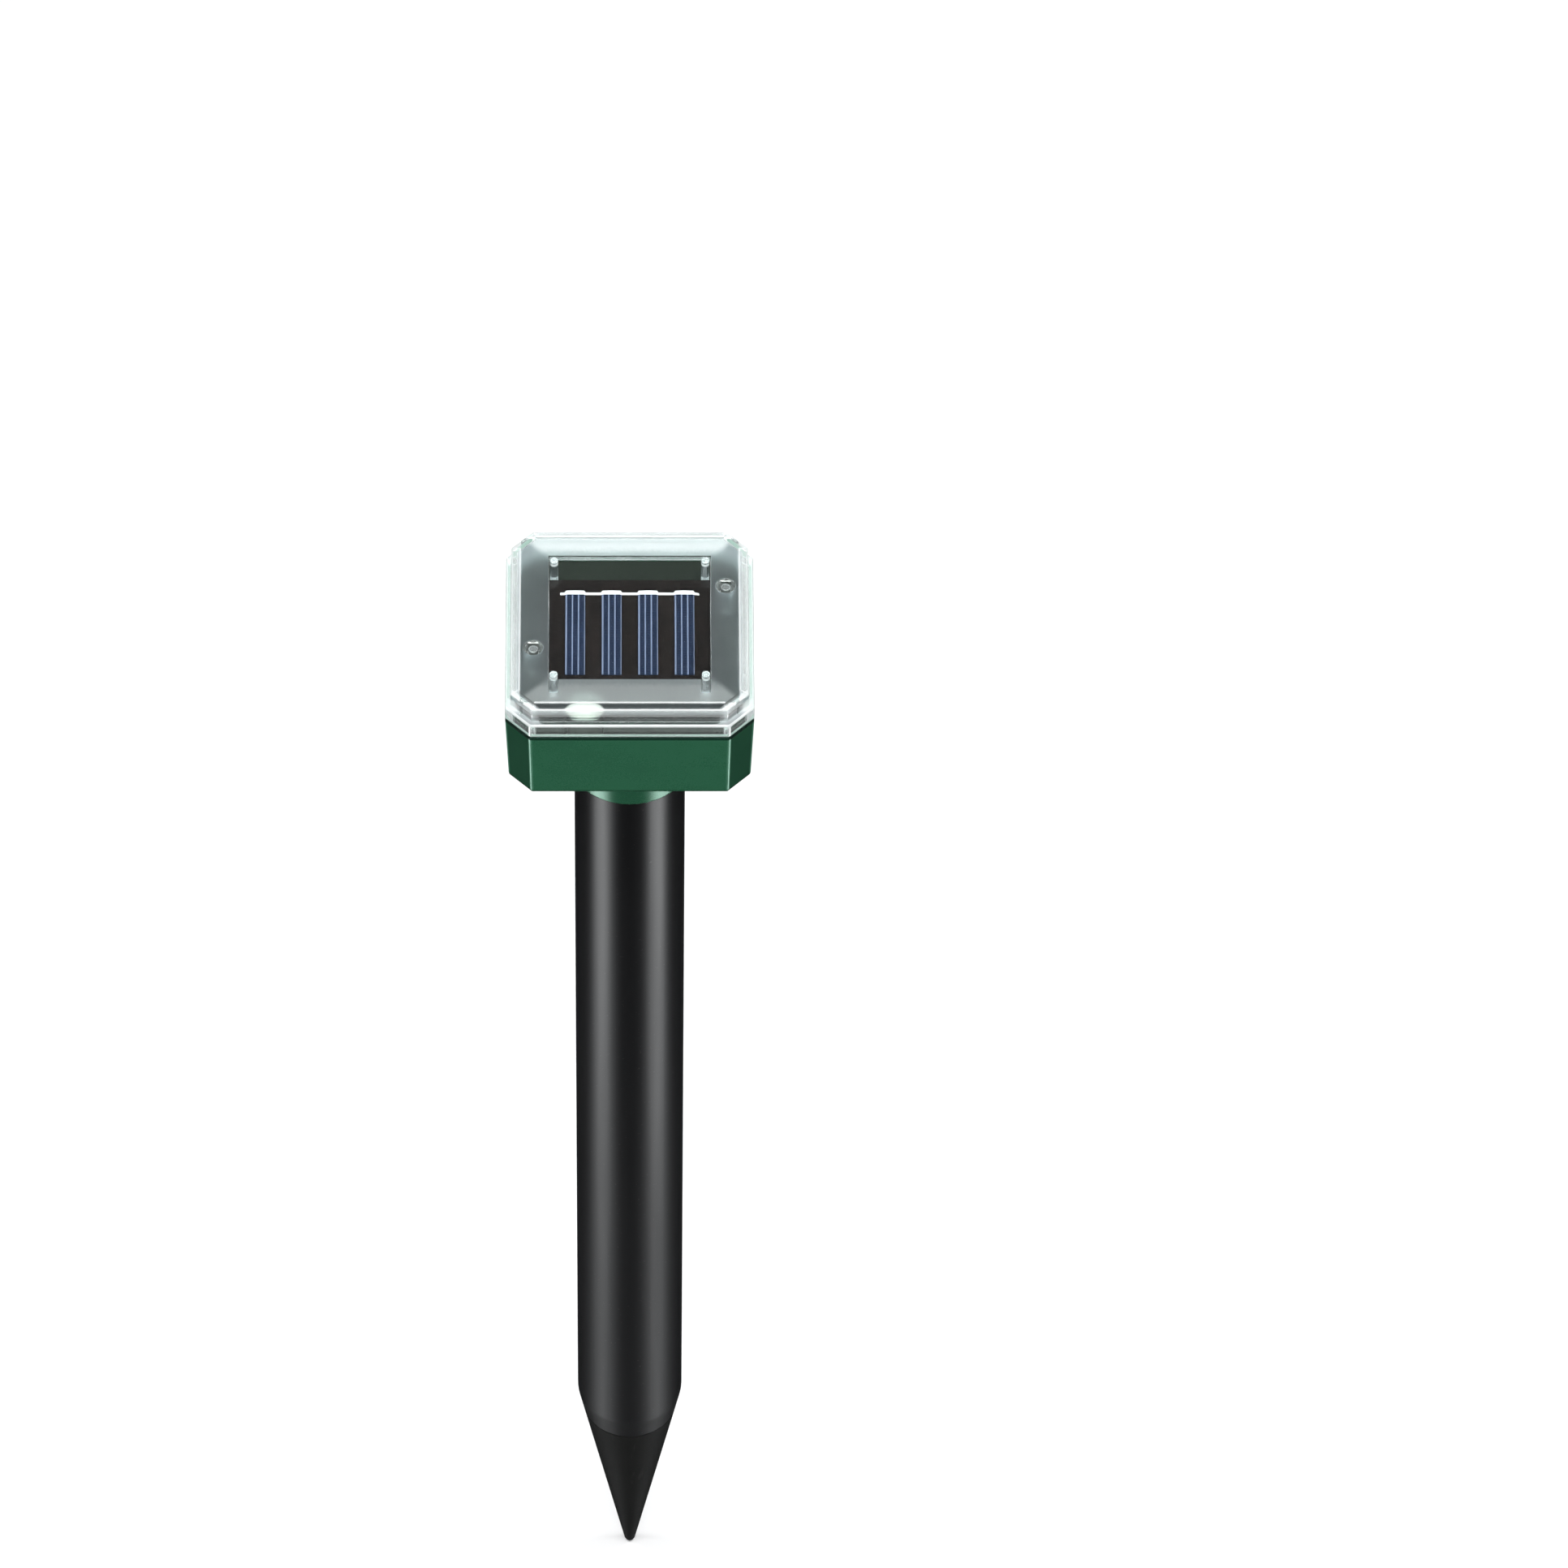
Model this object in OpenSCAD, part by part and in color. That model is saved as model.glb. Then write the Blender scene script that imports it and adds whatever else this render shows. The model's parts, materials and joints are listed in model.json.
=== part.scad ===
// Solar-powered ultrasonic pest repeller on a ground stake. A square head with cut
// corners holds a solar panel under a clear lid; it plugs onto a round tube that
// carries a small loudspeaker and ends in a spike.
// Origin: on the axis of the tube, at soil level. +Z is up, the head's front faces -Y.

/* [Head] */
// Width of the head across its flats, at the seam
head_w = 66.4; // [66:0.2:70]
// Leg of the cut corners
corner_cut = 6.6; // [5:0.2:8]
// Height of the housing, underside to seam
housing_h = 24.3; // [24:0.1:27]
// Wall thickness of the housing
wall = 2; // [1.6:0.1:2]
// How far each side leans in from the seam down to the underside
draft = 0.85; // [0.3:0.05:1.1]

/* [Lid] */
// Height of the clear lid above the seam
lid_h = 9.8; // [9.6:0.1:12]
// Thickness of the lid
lid_t = 1.8; // [1.4:0.1:1.8]
// Height of the lid's outer flange
flange_h = 4.6; // [3:0.1:5.4]
// Width of the ledge on top of the flange
ledge_w = 1.5; // [1:0.1:1.5]

/* [Solar panel] */
// Width of the panel, left to right
panel_w = 46; // [42:0.5:46.5]
// Depth of the panel, front to rear
panel_d = 36.6; // [34:0.2:36.6]
// Number of solar strips
strips = 4; // [2:1:4]
// Width of one strip
strip_w = 5.4; // [4:0.1:7]
// Length of one strip
strip_l = 29.6; // [24:0.2:31]
// Distance from strip to strip
strip_pitch = 9.75; // [8:0.05:10.5]

/* [Stake] */
// Outer diameter of the tube
tube_d = 30; // [28:0.5:31]
// Wall thickness of the tube
tube_wall = 1.5; // [1:0.1:1.6]
// Length of the tube below the soil line, down to where its end tapers
tube_sunk = 253.6; // [230:0.2:280]
// Height of the neck's rim above the soil
neck_clear = 25; // [20:1:40]
// Length of the housing's neck
neck_h = 23; // [21:0.5:26]
// Length of the spike below the end of the tube
spike_l = 67.3; // [60:0.1:90]

/* [Controls] */
// Diameter of the power button
button_d = 7.2; // [6:0.1:8]
// Travel of the power button
button_travel = 1.2; // [0.8:0.1:1.4]

/* [Hidden] */

$fn = 64;
// A film too thin to matter, and how far a cut runs past the face it opens
eps = 0.01;
over = 1;

// Levels, measured from the soil line
neck_rim = neck_clear;
head_z = neck_rim + neck_h;
seam_z = head_z + housing_h;
top_z = seam_z + lid_h;

// Running clearance, in radius
slide_gap = 0.05;

// Housing
floor_t = 2.4;
floor_z = head_z + floor_t;
edge_r = 1.8;
seam_gap = 0.7;
rim_z = seam_z - seam_gap;
neck_r = 16.9;
spigot_r = 14.3;
neck_bore_r = spigot_r + slide_gap;
neck_fillet = 1.2;
rim_chamfer = 0.6;
lead_hole_r = 7.5;
corner_ledge_h = 2.9;
corner_ledge_reach = 48;

// Lid
bevel_w = 2.4;
bevel_h = 0.6;
tongue_in = 2.2;
tongue_h = 1.5;
ceiling_z = top_z - lid_t;
boss_gap = 0.1;
post_gap = 0.3;
seal_in = 0.6;
seal_overlap = 0.1;

// Screws that hold the lid, set at two opposite sides
lid_screw_at = [[-25.7, -9.2], [25.7, 12.8]];
lid_boss_r = 2.6;
lid_screw_r = 1.5;
lid_screw_hole_r = 1.65;
lid_screw_bite_r = 1.3;
lid_screw_l = 24;
screw_head_r = 2.7;
screw_head_h = 2.2;
screw_pocket_r = 2.95;
screw_pocket_h = 3.6;
tray_hole_r = 1.8;
cross_l = 3.4;
cross_w = 0.8;
tunnel_r = 3.2;
tunnel_foot_r = 4.3;
tunnel_foot_h = 6;

// Tray and panel
tray_z = head_z + 21.9;
tray_t = 1.6;
tray_top = tray_z + tray_t;
tray_in = 4;
pad_t = 0.8;
pad_size = [40, 6];
pad_y = 14;
panel_y = 1.1;
panel_z = tray_top + pad_t;
panel_t = 2.6;
panel_top = panel_z + panel_t;
panel_lead_x = 2;
lead_r = 0.6;
slot_size = [12, 5];
post_r = 1.12;
post_x = 20.3;
post_y = [panel_y - panel_d / 2 - post_r - 0.18, 21.9];

// Solar strips and the flat wire that joins them
strip_y = 0.5;
cell_t = 0.3;
cell_gap = 0.1;
ribbon_y = strip_y + strip_l / 2 - 0.6;
ribbon_in = 0.3;
ribbon_pad = [1.2, 0.25];
ribbon_wire = [0.7, 0.15];
ribbon_tail = 1.6;

// Control board
board_z = head_z + 11;
board_t = 1.6;
board_top = board_z + board_t;
board_x = 21;
board_y = [-12, 28];
board_screw_at = [[-17.5, -8.5], [17.5, -8.5], [-17.5, 24.5], [17.5, 24.5]];
pillar_r = 2.6;
board_screw_r = 1.1;
board_screw_bite_r = 1;
board_screw_hole_r = 1.3;
board_screw_head = [2.2, 1.4];
board_screw_l = 5;

// Parts on the board
chip_at = [-9, 15];
chip_size = [6, 10, 1.8];
chip_lift = 0.1;
pins_a_side = 7;
pin_pitch = 1.27;
pin_size = [1.3, 0.45, 0.4];
small_part_at = [4, 22];
small_part_pitch = [3, 2.2];
small_part_size = [1.6, 0.8, 0.6];
capacitor_at = [[12, 14], [12, 5]];
capacitor_size = [3.15, 7];
choke_at = [-13, 3];
choke_r = 4;
choke_core_r = 3;
choke_h = 6;
choke_rim_h = 1.2;

// Power button and its switch, on the underside behind the neck
button_at = [0, head_w / 2 - 8.7];
button_gap = 0.2;
button_out = button_travel + 0.2;
button_r = button_d / 2 - 0.1;
button_chamfer = 0.4;
button_flange_r = button_d / 2 + 1;
button_flange_h = 0.8;
button_flange_z = floor_z + button_gap;
button_stem_r = 1.5;
button_stem_in = 1;
button_seal_gap = 0.3;
button_seal_w = 0.6;
button_seal_h = 2.6;
switch_size = [8, 8, 4.4];
switch_well_r = 1.8;
switch_roof = 1.2;
switch_z = board_z - switch_size[2];

// Status light
led_r = 5;
led_to_wall = 0.3;
led_at = [-12, ledge_w + lid_t + led_to_wall + led_r - head_w / 2];
led_base_z = head_z + 16.4;
led_top_z = head_z + 28.4;
led_cap_h = 1.8;
led_cap_r = (led_r * led_r + led_cap_h * led_cap_h) / (2 * led_cap_h);
led_gap = 0.15;
led_pitch = 2.54;
led_wire_r = 0.35;

// Battery, lying along X at the front of the housing
cell_r = 5.25;
cell_y = -22.5;
cell_x = [-20.7, 23];
cell_button_r = 1.9;
cell_button_h = 0.8;
holder_x = [-25.8, 25.8];
holder_end = 1.5;
holder_side = 0.8;
holder_gap = 0.2;
holder_base = 1.2;
holder_side_h = 9;
cell_z = floor_z + holder_base + cell_r;
contact_size = [0.4, 8, 8];
contact_lift = 4;
spring_turns = 3;
spring_l = 2.3;
spring_r = [3.4, 1.9];
spring_wire_r = 0.4;
spring_steps = 14;
battery_lead_end = [19, -11];

// Stake
tube_r = tube_d / 2;
tube_in_r = tube_r - tube_wall;
taper_l = 8.4;
taper_in = 1.5;
tube_top = neck_rim - 0.2;
taper_z = -tube_sunk;
seam_low_z = taper_z - taper_l;
tip_z = seam_low_z - spike_l;
tip_r = 1.7;
spike_plug_h = 10;
spike_plug_wall = 2;
spike_core_z = seam_low_z - 40;
spike_core_r = 3;
spike_core_step = 2;
spigot_top = head_z - 0.4;
spigot_plug_z = tube_top - 18;
spigot_wall = 1.8;
spigot_roof = 8;
seal_z = neck_rim + 10;
seal_r = 0.5;
seal_out = 0.02;
groove_gap = 0.05;

// Plug and socket on the tube's axis, which let the head turn without twisting a wire
plug_r = 3;
plug_z = spigot_top - 12;
plug_shoulder_z = head_z + 2.6;
plug_tip_r = 1.25;
plug_tip_z = head_z + 10;
socket_w = 8;
socket_z = head_z + 4;
socket_bore_top = head_z + 10.4;

// Loudspeaker, face down above the spike
spk_z = taper_z + 18;
spk_r = 12;
grille_r = 11;
ring_z = [-1.2, 2.4];
frame_t = 1.2;
frame_rim_in = 0.15;
frame_collar_t = 0.35;
frame_foot_r = 5;
frame_foot_t = 0.6;
plate_z = spk_z + 6.8;
magnet_z = spk_z + 8.2;
yoke_z = spk_z + 12.8;
yoke_t = 1.5;
motor_r = 7.2;
plate_bore_r = 4.3;
magnet_bore_r = 4.6;
pole_r = 3.3;
coil_r = 3.6;
coil_t = 0.35;
coil_z = spk_z + 4.2;
coil_h = 5.4;
cone_r = 9;
cone_z = spk_z + 1;
cone_t = 0.4;
cap_dip = 1.2;
roll_at = 10.2;
roll_r = [0.6, 0.85];
speaker_lead_r = 1.2;
speaker_lead_z = spk_z + 16;

// ---- shared shapes ----

// Square with cut corners, every edge moved in by inset
module octagon(inset = 0) {
    h = head_w / 2 - inset;
    c = corner_cut - inset * (2 - sqrt(2));
    polygon([[h, c - h], [h, h - c], [h - c, h], [c - h, h],
        [-h, h - c], [-h, c - h], [c - h, -h], [h - c, -h]]);
}

// Straight octagonal block
module oct_block(z, h, inset) {
    translate([0, 0, z])
        linear_extrude(h)
            octagon(inset);
}

// Octagonal block whose inset changes from bottom to top
module oct_taper(z0, in0, z1, in1) {
    hull() {
        oct_block(z0, eps, in0);
        oct_block(z1 - eps, eps, in1);
    }
}

// Round rod standing at a point [x, y], from z0 to z1
module rod(at, r, z0, z1) {
    translate([at[0], at[1], z0])
        cylinder(r = r, h = z1 - z0);
}

// Ring about the tube's axis
module tube_ring(r_out, r_in, z0, z1) {
    difference() {
        rod([0, 0], r_out, z0, z1);
        rod([0, 0], r_in, z0 - over, z1 + over);
    }
}

// Block centred at [x, y]
module block(at, size, z) {
    translate([at[0] - size[0] / 2, at[1] - size[1] / 2, z])
        cube(size);
}

function unit(v) = v / norm(v);
function along(p, i) =
    unit(p[min(i + 1, len(p) - 1)] - p[max(i - 1, 0)]);
function square_to(u, t) = unit(u - (u * t) * t);

// Wire through a list of points, as one swept solid
module wire(points, r = lead_r, side = [1, 0, 0], sides = 8) {
    n = len(points);
    sides_u = [for (i = 0, u = square_to(side, along(points, 0)); i < n;
        i = i + 1, u = i < n ? square_to(u, along(points, i)) : u) u];
    verts = [for (i = [0 : n - 1])
        let (t = along(points, i), u = sides_u[i], v = cross(t, u))
            for (k = [0 : sides - 1])
                points[i] + r * (cos(360 * k / sides) * u + sin(360 * k / sides) * v)];
    walls = [for (i = [0 : n - 2])
        for (k = [0 : sides - 1])
            let (a = i * sides + k, b = i * sides + (k + 1) % sides)
                [a, a + sides, b + sides, b]];
    ends = [[for (k = [0 : sides - 1]) k],
        [for (k = [sides - 1 : -1 : 0]) (n - 1) * sides + k]];
    polyhedron(points = verts, faces = concat(walls, ends), convexity = 6);
}

// ---- head: housing, lid and what fastens them ----

// Outside of the housing: leaning sides and a rounded lower edge
module housing_outside() {
    steps = 4;
    hull() {
        for (i = [0 : steps]) {
            a = 90 * i / steps;
            oct_block(head_z + edge_r * (1 - cos(a)), eps, draft + edge_r * (1 - sin(a)));
        }
        oct_block(rim_z - eps, eps, 0);
    }
}

// Blocks in the four corners that carry the tray
module corner_ledges() {
    translate([0, 0, tray_z - corner_ledge_h])
        linear_extrude(corner_ledge_h)
            difference() {
                octagon(wall * 3 / 4);
                rotate(45)
                    square(corner_ledge_reach * sqrt(2), center = true);
            }
}

// Neck below the head, with a chamfered rim and a fillet at its root
module neck() {
    rod([0, 0], neck_r, neck_rim + rim_chamfer, floor_z);
    translate([0, 0, neck_rim])
        cylinder(r1 = neck_r - rim_chamfer, r2 = neck_r, h = rim_chamfer);
    translate([0, 0, head_z - neck_fillet])
        cylinder(r1 = neck_r, r2 = neck_r + neck_fillet, h = neck_fillet + eps);
}

module housing() {
    root_z = head_z + floor_t / 2;
    color("#2a5c42")
    difference() {
        union() {
            difference() {
                housing_outside();
                oct_taper(floor_z, wall + draft, rim_z + over, wall);
            }
            neck();
            corner_ledges();
            for (p = board_screw_at)
                rod(p, pillar_r, root_z, board_z);
            for (p = lid_screw_at) {
                rod(p, tunnel_foot_r, root_z, head_z + tunnel_foot_h);
                rod(p, tunnel_r, root_z, tray_z);
            }
        }
        rod([0, 0], neck_bore_r, neck_rim - over, head_z);
        rod([0, 0], lead_hole_r, neck_rim, floor_z + over);
        rod(button_at, button_d / 2 + button_gap, head_z - over, floor_z + over);
        for (p = board_screw_at)
            rod(p, board_screw_bite_r, floor_z + over, board_z + over);
        for (p = lid_screw_at) {
            rod(p, screw_pocket_r, head_z - over, head_z + screw_pocket_h);
            rod(p, lid_screw_hole_r, head_z, tray_z + over);
        }
    }
}

// Outside of the lid: tongue, flange, ledge, wall and shallow bevel
module lid_outside() {
    oct_block(seam_z - tongue_h, tongue_h + over, tongue_in);
    oct_block(seam_z, flange_h, 0);
    oct_block(seam_z, lid_h - bevel_h, ledge_w);
    oct_taper(top_z - bevel_h - eps, ledge_w, top_z, ledge_w + bevel_w);
}

module clear_lid() {
    low = seam_z - tongue_h - over;
    color([0.85, 0.93, 0.9, 0.4])
    difference() {
        union() {
            difference() {
                lid_outside();
                oct_block(low, ceiling_z - low, ledge_w + lid_t);
            }
            for (p = lid_screw_at)
                rod(p, lid_boss_r, tray_top + boss_gap, ceiling_z + lid_t / 2);
            for (s = [-1, 1], y = post_y)
                rod([s * post_x, y], post_r, tray_top + post_gap, ceiling_z + lid_t / 2);
        }
        for (p = lid_screw_at)
            rod(p, lid_screw_bite_r, tray_z, ceiling_z - 1);
    }
}

// Soft ring that fills the seam, set back from the outside
module lid_seal() {
    color("#7c8d87")
    difference() {
        oct_block(rim_z, seam_gap, seal_in);
        oct_block(rim_z - over, seam_gap + 2 * over, wall - seal_overlap);
    }
}

// Screws that stand head down in the housing's pockets and bite into the lid's bosses
module lid_screws() {
    z = head_z + screw_pocket_h - screw_head_h;
    color("silver")
    for (p = lid_screw_at)
        difference() {
            union() {
                rod(p, screw_head_r, z, z + screw_head_h);
                rod(p, lid_screw_r, z + screw_head_h - eps, z + screw_head_h + lid_screw_l);
            }
            block(p, [cross_l, cross_w, screw_head_h / 2 + over], z - over);
            block(p, [cross_w, cross_l, screw_head_h / 2 + over], z - over);
        }
}

// ---- head: solar panel on its tray ----

function strip_x(i) = (i - (strips - 1) / 2) * strip_pitch;

module panel_board() {
    color("#1c1817")
    difference() {
        block([0, panel_y], [panel_w, panel_d, panel_t], panel_z);
        for (i = [0 : strips - 1])
            block([strip_x(i), strip_y], [strip_w + 2 * cell_gap, strip_l + 2 * cell_gap, 1],
                panel_top - cell_t);
    }
}

module solar_cells() {
    color("#243a66")
    for (i = [0 : strips - 1])
        block([strip_x(i), strip_y], [strip_w, strip_l, cell_t], panel_top - cell_t);
}

// Flat wires that join the rear ends of the strips, thinner between them
module cell_ribbons() {
    between = strip_pitch - strip_w + 2 * ribbon_in;
    end_x = strip_x(strips - 1) + strip_w / 2 - ribbon_in;
    color("silver") {
        for (i = [0 : strips - 1])
            block([strip_x(i), ribbon_y], [strip_w - 2 * ribbon_in, ribbon_pad[0], ribbon_pad[1]],
                panel_top);
        for (i = [0 : strips - 2])
            block([strip_x(i) + strip_pitch / 2, ribbon_y], [between, ribbon_wire[0], ribbon_wire[1]],
                panel_top);
        for (s = [-1, 1])
            block([s * (end_x + ribbon_tail / 2), ribbon_y],
                [ribbon_tail, ribbon_wire[0], ribbon_wire[1]], panel_top);
    }
}

module panel_pads() {
    color("dimgray")
    for (s = [-1, 1])
        block([0, s * pad_y], [pad_size[0], pad_size[1], pad_t], tray_top);
}

module panel_leads() {
    color("firebrick")
    for (s = [-1, 1])
        rod([s * panel_lead_x, 0], lead_r, board_top, panel_z);
}

// Plate that carries the panel; its front edge has a notch round the status light
module panel_tray() {
    color("#262d26")
    difference() {
        oct_block(tray_z, tray_t, tray_in);
        for (p = lid_screw_at)
            rod(p, tray_hole_r, tray_z - over, tray_top + over);
        rod(led_at, led_r + led_gap, tray_z - over, tray_top + over);
        block([led_at[0], led_at[1] - led_r], [2 * led_r, 2 * led_r, tray_t + 2 * over],
            tray_z - over);
        block([0, 0], [slot_size[0], slot_size[1], tray_t + 2 * over], tray_z - over);
    }
}

// ---- head: status light ----

// Wide lens with a low dome
module status_led() {
    color([0.85, 1, 0.9, 0.8])
    intersection() {
        rod(led_at, led_r, led_base_z, led_top_z + over);
        translate([led_at[0], led_at[1], led_top_z - led_cap_r])
            sphere(r = led_cap_r);
    }
}

module led_leads() {
    color("darkslategray")
    for (s = [-1, 1]) {
        x = led_at[0] + s * led_pitch / 2;
        y = led_at[1];
        z = led_base_z;
        wire([[x, y, z], [x, y, z - 0.5], [x, y + 0.5, z - 1.1], [x, y + 2, z - 1.3],
            [x, -13, z - 1.3], [x, -11.6, z - 1.6], [x, -11, z - 2.4], [x, -11, board_top]],
            led_wire_r);
    }
}

// ---- head: control board ----

module control_board() {
    color("#1e5a36")
    difference() {
        translate([-board_x, board_y[0], board_z])
            cube([2 * board_x, board_y[1] - board_y[0], board_t]);
        for (p = board_screw_at)
            rod(p, board_screw_hole_r, board_z - over, board_top + over);
    }
}

module board_screws() {
    color("silver")
    for (p = board_screw_at) {
        rod(p, board_screw_head[0], board_top, board_top + board_screw_head[1]);
        rod(p, board_screw_r, board_z - board_screw_l, board_top + eps);
    }
}

module controller_chip() {
    pin_x = (chip_size[0] + pin_size[0] - chip_lift) / 2;
    color("#151515")
    block(chip_at, chip_size, board_top + chip_lift);
    color("silver")
    for (s = [-1, 1], k = [0 : pins_a_side - 1])
        block(chip_at + [s * pin_x, (k - (pins_a_side - 1) / 2) * pin_pitch], pin_size, board_top);
}

// Two rows of small resistors beside the chip
module chip_parts() {
    color("#8a7a5c")
    for (column = [0 : 2], row = [0 : 1])
        block(small_part_at + [column * small_part_pitch[0], row * small_part_pitch[1]],
            small_part_size, board_top);
}

module capacitors() {
    color("#22303f")
    for (p = capacitor_at)
        rod(p, capacitor_size[0], board_top, board_top + capacitor_size[1]);
}

// Choke that steps the battery's voltage up: a wound core between two rims
module boost_coil() {
    color("#b06a30") {
        rod(choke_at, choke_core_r, board_top, board_top + choke_h);
        for (z = [0, choke_h - choke_rim_h])
            rod(choke_at, choke_r, board_top + z, board_top + z + choke_rim_h);
    }
}

// Socket on the axis of the tube, so that the head may turn on the plug
module lead_socket() {
    color("#202020")
    difference() {
        block([0, 0], [socket_w, socket_w, board_z - socket_z], socket_z);
        rod([0, 0], plug_tip_r + slide_gap, socket_z - over, socket_bore_top);
    }
}

module switch_body() {
    color("#303030")
    difference() {
        block(button_at, switch_size, switch_z);
        rod(button_at, switch_well_r, switch_z - over, board_z - switch_roof);
    }
}

// Push button that shows below the head, with its flange inside the floor
module power_button() {
    face_z = head_z - button_out;
    color("#20242a") {
        rod(button_at, button_r, face_z + button_chamfer, button_flange_z + eps);
        translate([button_at[0], button_at[1], face_z])
            cylinder(r1 = button_r - button_chamfer, r2 = button_r, h = button_chamfer + eps);
        rod(button_at, button_flange_r, button_flange_z, button_flange_z + button_flange_h);
        rod(button_at, button_stem_r, button_flange_z + eps, switch_z + button_stem_in);
    }
}

// Ring on the floor round the button's flange
module button_seal() {
    inner = button_flange_r + button_seal_gap;
    color("#101010")
    translate([button_at[0], button_at[1], 0])
        tube_ring(inner + button_seal_w, inner, floor_z, floor_z + button_seal_h);
}

// ---- head: battery ----

module battery_holder() {
    w = 2 * (cell_r + holder_gap + holder_side);
    l = holder_x[1] - holder_x[0];
    color("#181818")
    difference() {
        block([0, cell_y], [l, w, holder_base + holder_side_h], floor_z);
        block([0, cell_y], [l - 2 * holder_end, w - 2 * holder_side, holder_side_h + over],
            floor_z + holder_base);
    }
}

module battery_cell() {
    l = cell_x[1] - cell_x[0];
    color("#3f8f4f")
    translate([cell_x[0], cell_y, cell_z])
        rotate([0, 90, 0]) {
            cylinder(r = cell_r - slide_gap, h = l);
            cylinder(r = cell_button_r, h = l + cell_button_h);
        }
}

// Tapering coil on the holder's negative end, with its contact plate
module battery_spring() {
    plate_x = holder_x[0] + holder_end + slide_gap + contact_size[0] / 2;
    coil_x = plate_x + contact_size[0] / 2 + spring_wire_r - 2 * eps;
    n = spring_turns * spring_steps;
    color("silver") {
        block([plate_x, cell_y], contact_size, cell_z - contact_lift);
        wire([for (i = [0 : n])
            let (a = 360 * i / spring_steps, r = spring_r[0] + (spring_r[1] - spring_r[0]) * i / n)
                [coil_x + spring_l * i / n, cell_y + r * cos(a), cell_z + r * sin(a)]],
            spring_wire_r);
    }
}

module battery_contact() {
    x = holder_x[1] - holder_end - slide_gap - contact_size[0] / 2;
    color("silver")
    block([x, cell_y], contact_size, cell_z - contact_lift);
}

// Leads that rise beside the cell and bend back to the board
module battery_leads() {
    top = cell_z + cell_r;
    y = cell_y;
    end = battery_lead_end;
    color("firebrick")
    for (s = [-1, 1])
        wire([[s * 24, y + 3, cell_z + 4], [s * 24, y + 3, top], [s * 23.4, y + 5, top + 1.4],
            [s * 22, -15, top + 1.6], [s * 20, -11.5, top + 1.2],
            [s * end[0], end[1], top], [s * end[0], end[1], board_top]]);
}

// ---- stake: spigot, tube and spike ----

// Plastic plug in the tube's top; its upper part is the journal that the head turns on
module tube_spigot() {
    groove = seal_r + groove_gap;
    roof_z = spigot_top - spigot_roof;
    color("#26282a")
    difference() {
        union() {
            rod([0, 0], tube_in_r - slide_gap, spigot_plug_z, tube_top + over);
            rod([0, 0], spigot_r, tube_top, spigot_top);
        }
        rod([0, 0], tube_in_r - spigot_wall, spigot_plug_z - over, roof_z);
        rod([0, 0], plug_r + slide_gap, roof_z - over, spigot_top + over);
        tube_ring(spigot_r + over, spigot_r - 2 * seal_r, seal_z - groove, seal_z + groove);
    }
}

module neck_seal() {
    color("#101010")
    translate([0, 0, seal_z])
        rotate_extrude()
            translate([spigot_r + seal_out - seal_r, 0])
                circle(r = seal_r, $fn = 32);
}

module lead_plug() {
    color("#303030")
    rod([0, 0], plug_r, plug_z, plug_shoulder_z);
    color("silver")
    rod([0, 0], plug_tip_r, plug_shoulder_z - eps, plug_tip_z);
}

// Two-core lead from the plug down to the loudspeaker, slack enough to bow from side to side
module speaker_lead() {
    low = speaker_lead_z;
    color("#181818")
    wire([[0, 0, plug_z], [0, 0, plug_z - 6], [2, 0, 20], [5, 0, 10], [5, 0, -60], [-5, 0, -110],
        [-5, 0, low + 70], [4, 0, low + 20], [6, 0, low + 6], [6, 0, low]], speaker_lead_r, [0, 1, 0]);
}

// Thin tube, rolled in at its lower end over the spike's plug
module stake_tube() {
    color("#1a1a1a")
    rotate_extrude()
        polygon([[tube_r, tube_top], [tube_r, taper_z], [tube_r - taper_in, seam_low_z],
            [tube_in_r - taper_in, seam_low_z], [tube_in_r, taper_z], [tube_in_r, tube_top]]);
}

// Cone with a rounded tip and a hollow plug that the tube holds
module ground_spike() {
    steps = 8;
    r = tube_in_r - slide_gap;
    wall_r = r - spike_plug_wall;
    top = taper_z + spike_plug_h;
    slope = atan(taper_in / taper_l);
    tip = [for (i = [0 : steps])
        let (a = i * (90 - slope) / steps)
            [tip_r * sin(a), tip_z + tip_r * (1 - cos(a))]];
    color("#2d2d2d")
    rotate_extrude()
        polygon(concat(tip, [[tube_r - taper_in, seam_low_z], [r - taper_in, seam_low_z],
            [r, taper_z], [r, top], [wall_r, top],
            [wall_r - spike_core_step, seam_low_z - spike_core_step],
            [spike_core_r, spike_core_z + spike_core_step], [0, spike_core_z]]));
}

// ---- stake: loudspeaker ----

// Soft ring that seats the loudspeaker in the tube
module speaker_ring() {
    r = tube_in_r - slide_gap;
    seat_r = spk_r + slide_gap;
    low = spk_z + ring_z[0];
    high = spk_z + ring_z[1];
    color("#141414")
    rotate_extrude()
        polygon([[grille_r, low], [r, low], [r, high], [seat_r, high], [seat_r, spk_z],
            [grille_r, spk_z]]);
}

// Dished frame from its rim up to the collar that holds the magnet's plate
module speaker_frame() {
    rim_r = grille_r + frame_rim_in;
    collar_r = motor_r + slide_gap;
    foot_z = plate_z - frame_foot_t;
    color("slategray")
    rotate_extrude()
        polygon([[rim_r, spk_z], [spk_r, spk_z], [spk_r, spk_z + frame_t],
            [spk_r - 0.3, spk_z + frame_t], [collar_r + frame_collar_t, plate_z],
            [collar_r + frame_collar_t, magnet_z], [collar_r, magnet_z], [collar_r, plate_z],
            [frame_foot_r, plate_z], [frame_foot_r, foot_z], [motor_r - 0.1, foot_z],
            [rim_r, spk_z + frame_t]]);
}

module speaker_plate() {
    color("silver")
    tube_ring(motor_r, plate_bore_r, plate_z, magnet_z);
}

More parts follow.
